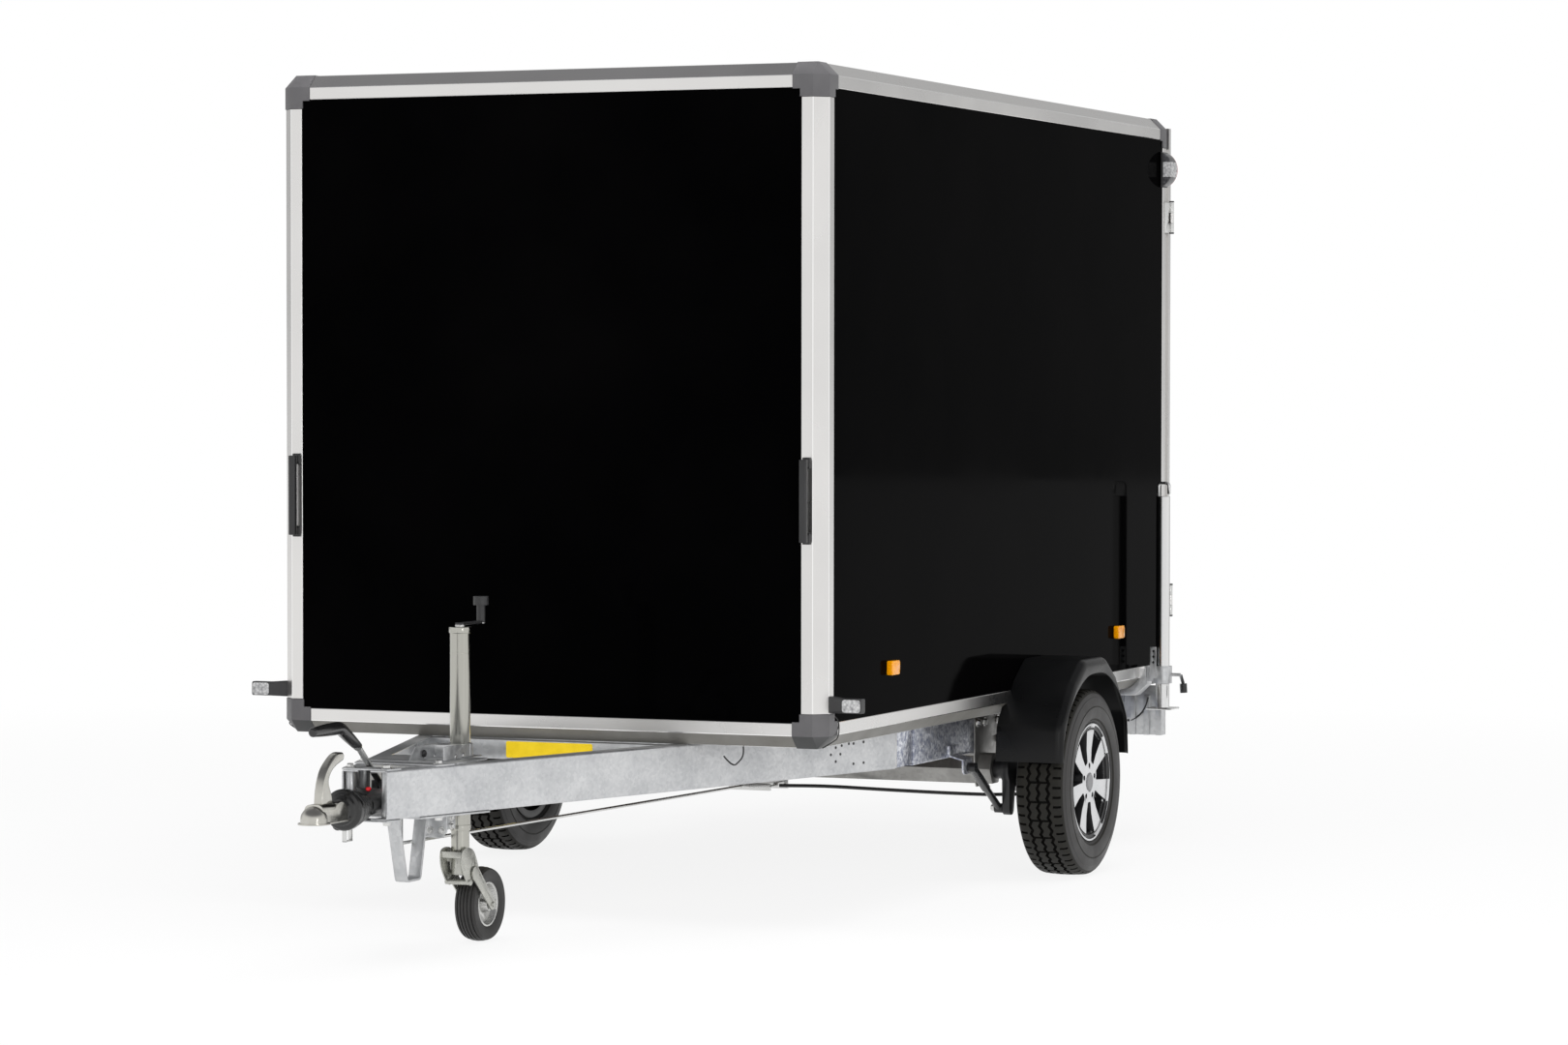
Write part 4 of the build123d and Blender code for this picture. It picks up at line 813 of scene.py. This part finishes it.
turned_alloy = grained(
    "turned alloy", (0.60, 0.61, 0.62), (0.72, 0.72, 0.73), (0.14, 0.26), metallic=1.0, blotch=9, grain=400,
    bump=0.04,
)
window_black = grained(
    "black wheel paint", (0.008, 0.008, 0.0085), (0.015, 0.015, 0.016), (0.3, 0.42), blotch=12, grain=700,
    bump=0.08,
)
cap_grey = grained("grey hub cap", (0.20, 0.20, 0.205), (0.26, 0.26, 0.265), (0.3, 0.4), grain=900, bump=0.06)
drum_black = grained(
    "drum casting", (0.01, 0.01, 0.01), (0.022, 0.019, 0.017), (0.5, 0.7), blotch=18, grain=500, bump=0.3,
)
dress(drum_black, "hub_left", "hub_right")
hub_cap_outline = [(62.1, 0), (62.1, 30.5), (73.5, 30.5), (76.8, 26.5), (77.5, 0)]
spokes = 7
spoke_pitch, spoke_half = 2 * math.pi / spokes, math.radians(11.5)
# The lip's inner edge is raised where it meets a spoke.
lip_reach, lip_rise = (0.185, 0.189), 0.0066
# The turned face stands nearly flush with the lip: (radius, distance out) before and after turning.
dished_face = ((0, 0.054), (0.042, 0.054), (0.064, 0.052), (0.112, 0.058), (0.150, 0.064), (0.1762, 0.067))
flush_face = (
    (0, 0.0735), (0.042, 0.0735), (0.064, 0.0725), (0.112, 0.0715), (0.150, 0.074), (0.1762, 0.0765),
)


def dish(reach, face):
    """How far out the wheel's face stands at a radius."""
    for (near, low), (far, high) in zip(face, face[1:]):
        if reach <= far:
            return low + (high - low) * (reach - near) / (far - near)
    return face[-1][1]


def in_wheel(point, centre, side):
    """Radius, distance out from the wheel's middle, and angle from the nearest spoke's middle."""
    x, z = point.x - centre.x, point.z - centre.z
    turn = (math.atan2(z, x) - math.pi / 2 + spoke_pitch / 2) % spoke_pitch - spoke_pitch / 2
    return math.hypot(x, z), side * (point.y - centre.y), abs(turn)


for name, side in (("left", 1), ("right", -1)):
    centre = middle_of("tyre_" + name)
    turned_tyre(
        f"tyre_{name}_treaded", tyre_outline, centre, side, tread_steps,
        [tyre_rubber, tread_and_ring_shade_rubber, groove_shade_rubber], "tyre_" + name, cut_tread(centre),
    )

    bm = merged_copy("rim_" + name)
    for spoke in range(spokes):
        for edge in (-1, 1):
            turn = math.pi / 2 + spoke * spoke_pitch + edge * spoke_half
            part_faces(bm, centre, (-math.sin(turn), 0, math.cos(turn)))
    for vert in bm.verts:
        reach, out, off_spoke = in_wheel(vert.co, centre, side)
        if reach < flush_face[-1][0] and abs(out - dish(reach, dished_face)) < 0.0012:
            vert.co.y += side * (dish(reach, flush_face) - dish(reach, dished_face))
        elif off_spoke < spoke_half + 0.01 and lip_reach[0] < reach < lip_reach[1] and 0.07 < out < 0.074:
            vert.co.y += side * lip_rise
    round_edges(bm, sharp_edges(bm, 35), 0.0015)
    for face in bm.faces:
        reach, out, off_spoke = in_wheel(face.calc_center_median(), centre, side)
        lip = reach > 0.1905 or (reach > 0.168 and out > 0.06 and off_spoke < spoke_half)
        face.material_index = 0 if side * face.normal.y > 0.35 and (reach < 0.178 or lip) else 1
    put_piece(
        f"rim_{name}_turned", bm, [turned_alloy, window_black], f"wheel_{name}", ("rim_" + name,),
        angle=30,
    )
    bm = bmesh.new()
    spin_shell(bm, hub_cap_outline, centre, side, 48, closed=False)
    put_piece(f"hub_cap_{name}", bm, [cap_grey], f"wheel_{name}")

# ---- Mudguards -----------------------------------------------
# Blow-moulded black polythene, slightly glossy, with rounded edges that catch the light.

guard_plastic = grained(
    "mudguard polythene", (0.0045, 0.0046, 0.0048), (0.0075, 0.0076, 0.008), (0.26, 0.36), spec=0.2, blotch=5,
    grain=1400, bump=0.12,
)
for side in ("left", "right"):
    softened(f"mudguard_{side}", 0.0016, guard_plastic)

# ---- Axle, arms, brakes and dampers --------------------------
# Galvanised hexagonal axle tube with black trailing arms and dampers, zinc-plated brake rods and
# black brake cables.

axle_zinc = zinc("axle zinc", (0.24, 0.235, 0.225), (0.42, 0.415, 0.40), (0.32, 0.46), cloud=9, share=0.85)
softened("axle_beam", 0.0025, axle_zinc)
softened("brake_linkage", 0.0008, bar_zinc)
damper_black = grained(
    "damper paint", (0.01, 0.01, 0.011), (0.018, 0.018, 0.019), (0.25, 0.4), grain=800, bump=0.08,
)
softened("shock_absorbers", 0.0015, damper_black)
softened("swing_arms", 0.003, damper_black)
bm = bmesh.new()
damper_low, damper_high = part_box("shock_absorbers")
for side in (-1, 1):
    place = (damper_low.x + 0.016, side * (damper_high.y - 0.032), damper_low.z + 0.016)
    add_bolt(bm, place, (0, -side, 0), (0.019, 0.014, 0.013))
put_piece("damper_bolts", bm, [bar_zinc], "trailer")
cable_black = grained(
    "cable sheath", (0.012, 0.012, 0.012), (0.02, 0.02, 0.02), (0.4, 0.55), blotch=20, grain=1500,
)
dress(cable_black, "brake_cables")

# ---- Prop stands ---------------------------------------------
# Bright zinc tubes that slide in folded brackets and are locked by a screw with a black knob.

prop_zinc = drawn("prop tube zinc", (0.70, 0.70, 0.70), (0.80, 0.80, 0.79), (0.2, 0.3))
for side in ("left", "right"):
    softened(f"prop_{side}", 0.0012, prop_zinc)
knob_line = box_half + 0.1505
softened(
    "prop_brackets", 0.0012, galvanised, black_plastic,
    cuts=(((0, knob_line, 0), (0, 1, 0)), ((0, -knob_line, 0), (0, 1, 0))),
    paint=lambda face: 1 if abs(face.calc_center_median().y) > knob_line else 0,
)

# ---- Lamps ---------------------------------------------------
# Moulded lenses on black bases: clear position lamps on rubber arms at the front, amber markers on
# the sides, half-moon outline lamps at the rear corners and two clusters on the lamp board.


def make_lens_group():
    """The fine prisms inside a lens, which break its colour into lighter and darker cells."""
    group, new, tie, ins, outs, place = new_group("lens prisms", ("Prism Scale", *PATTERN_VALUES))
    cell = new("ShaderNodeTexVoronoi")
    tie(place.outputs["Object"], cell.inputs["Vector"])
    tie(ins.outputs["Prism Scale"], cell.inputs["Scale"])
    tone = cell.outputs["Distance"]
    return end_group(group, new, tie, ins, outs, tone, tone, tone, 0.0008)


lens_prisms = make_lens_group()


def lens(name, color_a, color_b, prism=250.0, coat=0.5):
    """A coloured lens with a clear gloss over its prisms."""
    return patterned(
        name, lens_prisms, color_a, color_b, (0.08, 0.2), 0.12, {"Prism Scale": prism}, coat=coat,
    )


lamp_base = grained(
    "lamp base", (0.022, 0.022, 0.023), (0.032, 0.032, 0.033), (0.4, 0.52), grain=1500, bump=0.15,
)
clear_lens = lens("clear lens", (0.62, 0.62, 0.62), (0.16, 0.16, 0.165), prism=110)
smoked_lens = lens("smoked lens", (0.09, 0.09, 0.095), (0.012, 0.012, 0.013), prism=110, coat=0.1)
amber_lens = lens("amber lens", (0.76, 0.20, 0.0), (1.0, 0.46, 0.0), coat=0.2)
red_lens = lens("red lens", (0.40, 0.006, 0.008), (0.62, 0.02, 0.02))
softened("front_lamps", 0.0045, lamp_base, segments=3)
lamp_high, lamp_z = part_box("front_lamps")[1], middle_of("front_lamps").z
bm = bmesh.new()
for side in (-1, 1):
    add_block(bm, (lamp_high.x - 0.0165, side * (lamp_high.y - 0.0315), lamp_z), (0.036, 0.058, 0.038))
round_edges(bm, edges_along_x(bm), 0.008, 3)
put_piece("front_lamp_lenses", bm, [clear_lens], "trailer")
softened("side_markers", 0.0035, amber_lens, segments=3)
moon = middle_of("outline_lamps")
moon_base, moon_seam, clear_half = box_half + 0.010, moon.x - 0.028, 0.027


def moon_tone(face):
    """Black foot on the post, a clear window in the smoked front lens, and red lens behind."""
    middle = face.calc_center_median()
    if abs(middle.y) < moon_base:
        return 0
    if middle.x < moon_seam:
        return 2
    return 1 if abs(middle.z - moon.z) < clear_half else 3


softened(
    "outline_lamps", 0.003, lamp_base, clear_lens, red_lens, smoked_lens, segments=3,
    cuts=(
        ((0, moon_base, 0), (0, 1, 0)), ((0, -moon_base, 0), (0, 1, 0)), ((moon_seam, 0, 0), (1, 0, 0)),
        ((0, 0, moon.z - clear_half), (0, 0, 1)), ((0, 0, moon.z + clear_half), (0, 0, 1)),
    ),
    paint=moon_tone,
)
rear_low, rear_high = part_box("rear_lamps")
cluster_foot = rear_high.x - 0.014
cluster_lines = (rear_low.z + 0.036, rear_low.z + 0.073)


def cluster_tone(face):
    """Black housing, and lenses red below. Above, the outer part is amber and the inner one clear."""
    middle = face.calc_center_median()
    if middle.x > cluster_foot:
        return 0
    if abs(middle.y) > rear_high.y - 0.137:
        return 2 if middle.z > cluster_lines[1] else 1
    return 1 if middle.z < cluster_lines[1] else 3


softened(
    "rear_lamps", 0.003, lamp_base, red_lens, amber_lens, clear_lens,
    cuts=[((cluster_foot, 0, 0), (1, 0, 0))] + [((0, 0, z), (0, 0, 1)) for z in cluster_lines],
    paint=cluster_tone,
)

# ---- Clipped lamp leads --------------------------------------
# Short black lamp leads, clipped at both ends: one hangs from each front lamp, a loop hangs beside
# the drawbar, and one crosses to the lamp board.


def lead(name, thick, points):
    """A short clipped lead along a smooth curve, whose points are given from the front of the box."""
    curve = bpy.data.curves.new(name, "CURVE")
    curve.dimensions = "3D"
    curve.bevel_depth = thick / 2
    curve.bevel_resolution = 3
    curve.resolution_u = 8
    curve.use_fill_caps = True
    spline = curve.splines.new("NURBS")
    spline.points.add(len(points) - 1)
    for point, (ahead, y, z) in zip(spline.points, points):
        point.co = (box_front + ahead, y, z, 1)
    spline.order_u = 3
    spline.use_endpoint_u = True
    curve.materials.append(cable_black)
    piece = bpy.data.objects.new(name, curve)
    bpy.context.collection.objects.link(piece)
    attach(piece, "trailer")


lamp_route = (
    (-0.075, 0.921, 0.655), (-0.118, 0.922, 0.640), (-0.116, 0.925, 0.604), (-0.080, 0.933, 0.583),
    (-0.060, 0.930, 0.578), (-0.058, 0.912, 0.566), (-0.060, 0.893, 0.556),
)
for name, side in (("left", 1), ("right", -1)):
    lead(f"front_lamp_lead_{name}", 0.0035, [(ahead, side * y, z) for ahead, y, z in lamp_route])
lead("drawbar_loop", 0.005, (
    (-0.038, 0.643, 0.555), (-0.040, 0.646, 0.528), (-0.062, 0.612, 0.499), (-0.086, 0.592, 0.492),
    (-0.088, 0.575, 0.500), (-0.080, 0.560, 0.520),
))
lead("lamp_board_lead", 0.006, (
    (-3.300, 0.770, 0.420), (-3.290, 0.792, 0.411), (-3.290, 0.832, 0.434), (-3.288, 0.860, 0.470),
    (-3.288, 0.868, 0.505),
))

# ---- Studio --------------------------------------------------
# A white floor that fades into a white surround, both seen as white only by the camera and by
# glossy surfaces. Large soft lamps hang above and to the front left.


def sum_of(owner, operation, first, second):
    """One sum on two sockets or numbers."""
    node = add_node(owner, "ShaderNodeMath", operation=operation)
    for socket, value in zip(node.inputs, (first, second)):
        if isinstance(value, (int, float)):
            socket.default_value = value
        else:
            owner.node_tree.links.new(value, socket)
    return node.outputs["Value"]


floor_mesh = bpy.data.meshes.new("studio floor")
bm = bmesh.new()
bmesh.ops.create_grid(bm, x_segments=1, y_segments=1, size=60)
bmesh.ops.translate(bm, verts=bm.verts, vec=(0, 0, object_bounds()[0].z - 0.0005))
bm.to_mesh(floor_mesh)
bm.free()
floor = bpy.data.objects.new("studio_floor", floor_mesh)
bpy.context.collection.objects.link(floor)
floor_paint = new_finish("studio floor", (0.92, 0.92, 0.92), 0.9, spec=0.0)
tie = floor_paint.node_tree.links.new
glow = add_node(floor_paint, "ShaderNodeEmission", Strength=1.0)
blend = add_node(floor_paint, "ShaderNodeMixShader")
ray = add_node(floor_paint, "ShaderNodeLightPath").outputs
spot = add_node(floor_paint, "ShaderNodeTexCoord")
far = add_node(floor_paint, "ShaderNodeVectorMath", operation="LENGTH")
fade = add_node(floor_paint, "ShaderNodeMapRange", From_Min=2.5, From_Max=9.0, To_Min=0.87, To_Max=1.0)
tie(spot.outputs["Object"], far.inputs[0])
tie(far.outputs["Value"], fade.inputs["Value"])
camera_or_gloss = sum_of(floor_paint, "MAXIMUM", ray["Is Camera Ray"], ray["Is Glossy Ray"])
seen = sum_of(floor_paint, "MAXIMUM", camera_or_gloss, ray["Is Transmission Ray"])
tie(sum_of(floor_paint, "MULTIPLY", seen, fade.outputs["Result"]), blend.inputs[0])
tie(shader_of(floor_paint).outputs[0], blend.inputs[1])
tie(glow.outputs[0], blend.inputs[2])
tie(blend.outputs[0], floor_paint.node_tree.nodes["Material Output"].inputs["Surface"])
floor_mesh.materials.append(floor_paint)

# Bright metal mirrors the white surround, apart from a dark ceiling and a dimmer side behind the
# trailer, which give tubes and upper faces their form.
heading = 0.3947764
world = bpy.data.worlds.new("studio")
bpy.context.scene.world = world
world.use_nodes = True
tie = world.node_tree.links.new


def blended(share, low, high):
    """The surround's tone, from low to high by a share; low may be the tone of another blend."""
    mix = add_node(world, "ShaderNodeMix", data_type="RGBA")
    mix.inputs["B"].default_value = (*high, 1)
    tie(share, mix.inputs["Factor"])
    if isinstance(low, tuple):
        mix.inputs["A"].default_value = (*low, 1)
    else:
        tie(low, mix.inputs["A"])
    return mix.outputs["Result"]


backdrop = world.node_tree.nodes["Background"]
backdrop.inputs["Strength"].default_value = 1.0
ray = add_node(world, "ShaderNodeLightPath").outputs
around = add_node(world, "ShaderNodeTexCoord").outputs["Generated"]
split = add_node(world, "ShaderNodeSeparateXYZ")
height = add_node(world, "ShaderNodeMapRange", From_Min=0.30, From_Max=0.62)
toward = add_node(world, "ShaderNodeVectorMath", operation="DOT_PRODUCT")
toward.inputs[1].default_value = (math.cos(heading), math.sin(heading), 0)
behind = add_node(world, "ShaderNodeMapRange", From_Min=-0.15, From_Max=-0.72)
tie(around, split.inputs["Vector"])
tie(split.outputs["Z"], height.inputs["Value"])
tie(around, toward.inputs[0])
tie(toward.outputs["Value"], behind.inputs["Value"])
ceiling, back = height.outputs["Result"], behind.outputs["Result"]
mirrored_ray = sum_of(world, "MAXIMUM", ray["Is Glossy Ray"], ray["Is Transmission Ray"])
below, ahead = sum_of(world, "SUBTRACT", 1, ceiling), sum_of(world, "SUBTRACT", 1, back)
open_side = sum_of(world, "MULTIPLY", below, ahead)
white = sum_of(world, "MAXIMUM", ray["Is Camera Ray"], sum_of(world, "MULTIPLY", mirrored_ray, open_side))
tone = blended(ceiling, (0.95, 0.95, 0.95), (0.20, 0.20, 0.21))
tone = blended(sum_of(world, "MULTIPLY", mirrored_ray, back), tone, (0.52, 0.52, 0.52))
tie(blended(white, tone, (1, 1, 1)), backdrop.inputs["Color"])


def soft_light(name, place, target, size, power, mirrored=False):
    """A large softbox aimed at a point. Only a narrow one is mirrored in the bright metal."""
    lamp = bpy.data.lights.new(name, "AREA")
    lamp.shape = "RECTANGLE"
    lamp.size, lamp.size_y = size
    lamp.energy = power
    holder = bpy.data.objects.new(name, lamp)
    holder.location = place
    holder.rotation_mode = "QUATERNION"
    holder.rotation_quaternion = (Vector(target) - Vector(place)).to_track_quat("-Z", "Y")
    holder.visible_glossy = mirrored
    bpy.context.collection.objects.link(holder)


soft_light("overhead softbox", (0.5, 0.5, 6.5), (0, 0, 1), (7, 5), 420)
soft_light("front left softbox", (7.5, 5.5, 3.2), (0.3, 0, 1.1), (4, 3), 330)
soft_light("strip softbox", (8.0, 8.5, 1.2), (1.5, 0, 0.9), (0.9, 3.0), 45, mirrored=True)

# ---- Camera --------------------------------------------------
# A long lens from well off the front left, at about eye height.

dip, tilt = 0.0307757, 0.0010704
gaze = Vector((-math.cos(heading) * math.cos(dip), -math.sin(heading) * math.cos(dip), -math.sin(dip)))
level = Vector((-math.sin(heading), math.cos(heading), 0))
upright = level.cross(gaze)
across = level * math.cos(tilt) + upright * math.sin(tilt)
upward = upright * math.cos(tilt) - level * math.sin(tilt)
camera_data = bpy.data.cameras.new("camera")
camera_data.sensor_width = 36
camera_data.lens = 105.066
camera_data.clip_start, camera_data.clip_end = 0.1, 200
camera = bpy.data.objects.new("camera", camera_data)
camera.rotation_mode = "QUATERNION"
camera.location = (box_front + 12.676, 6.073, 1.659)
camera.rotation_quaternion = Matrix((across, upward, -gaze)).transposed().to_quaternion()
bpy.context.collection.objects.link(camera)
bpy.context.scene.camera = camera
bpy.context.scene.view_settings.view_transform = "Standard"
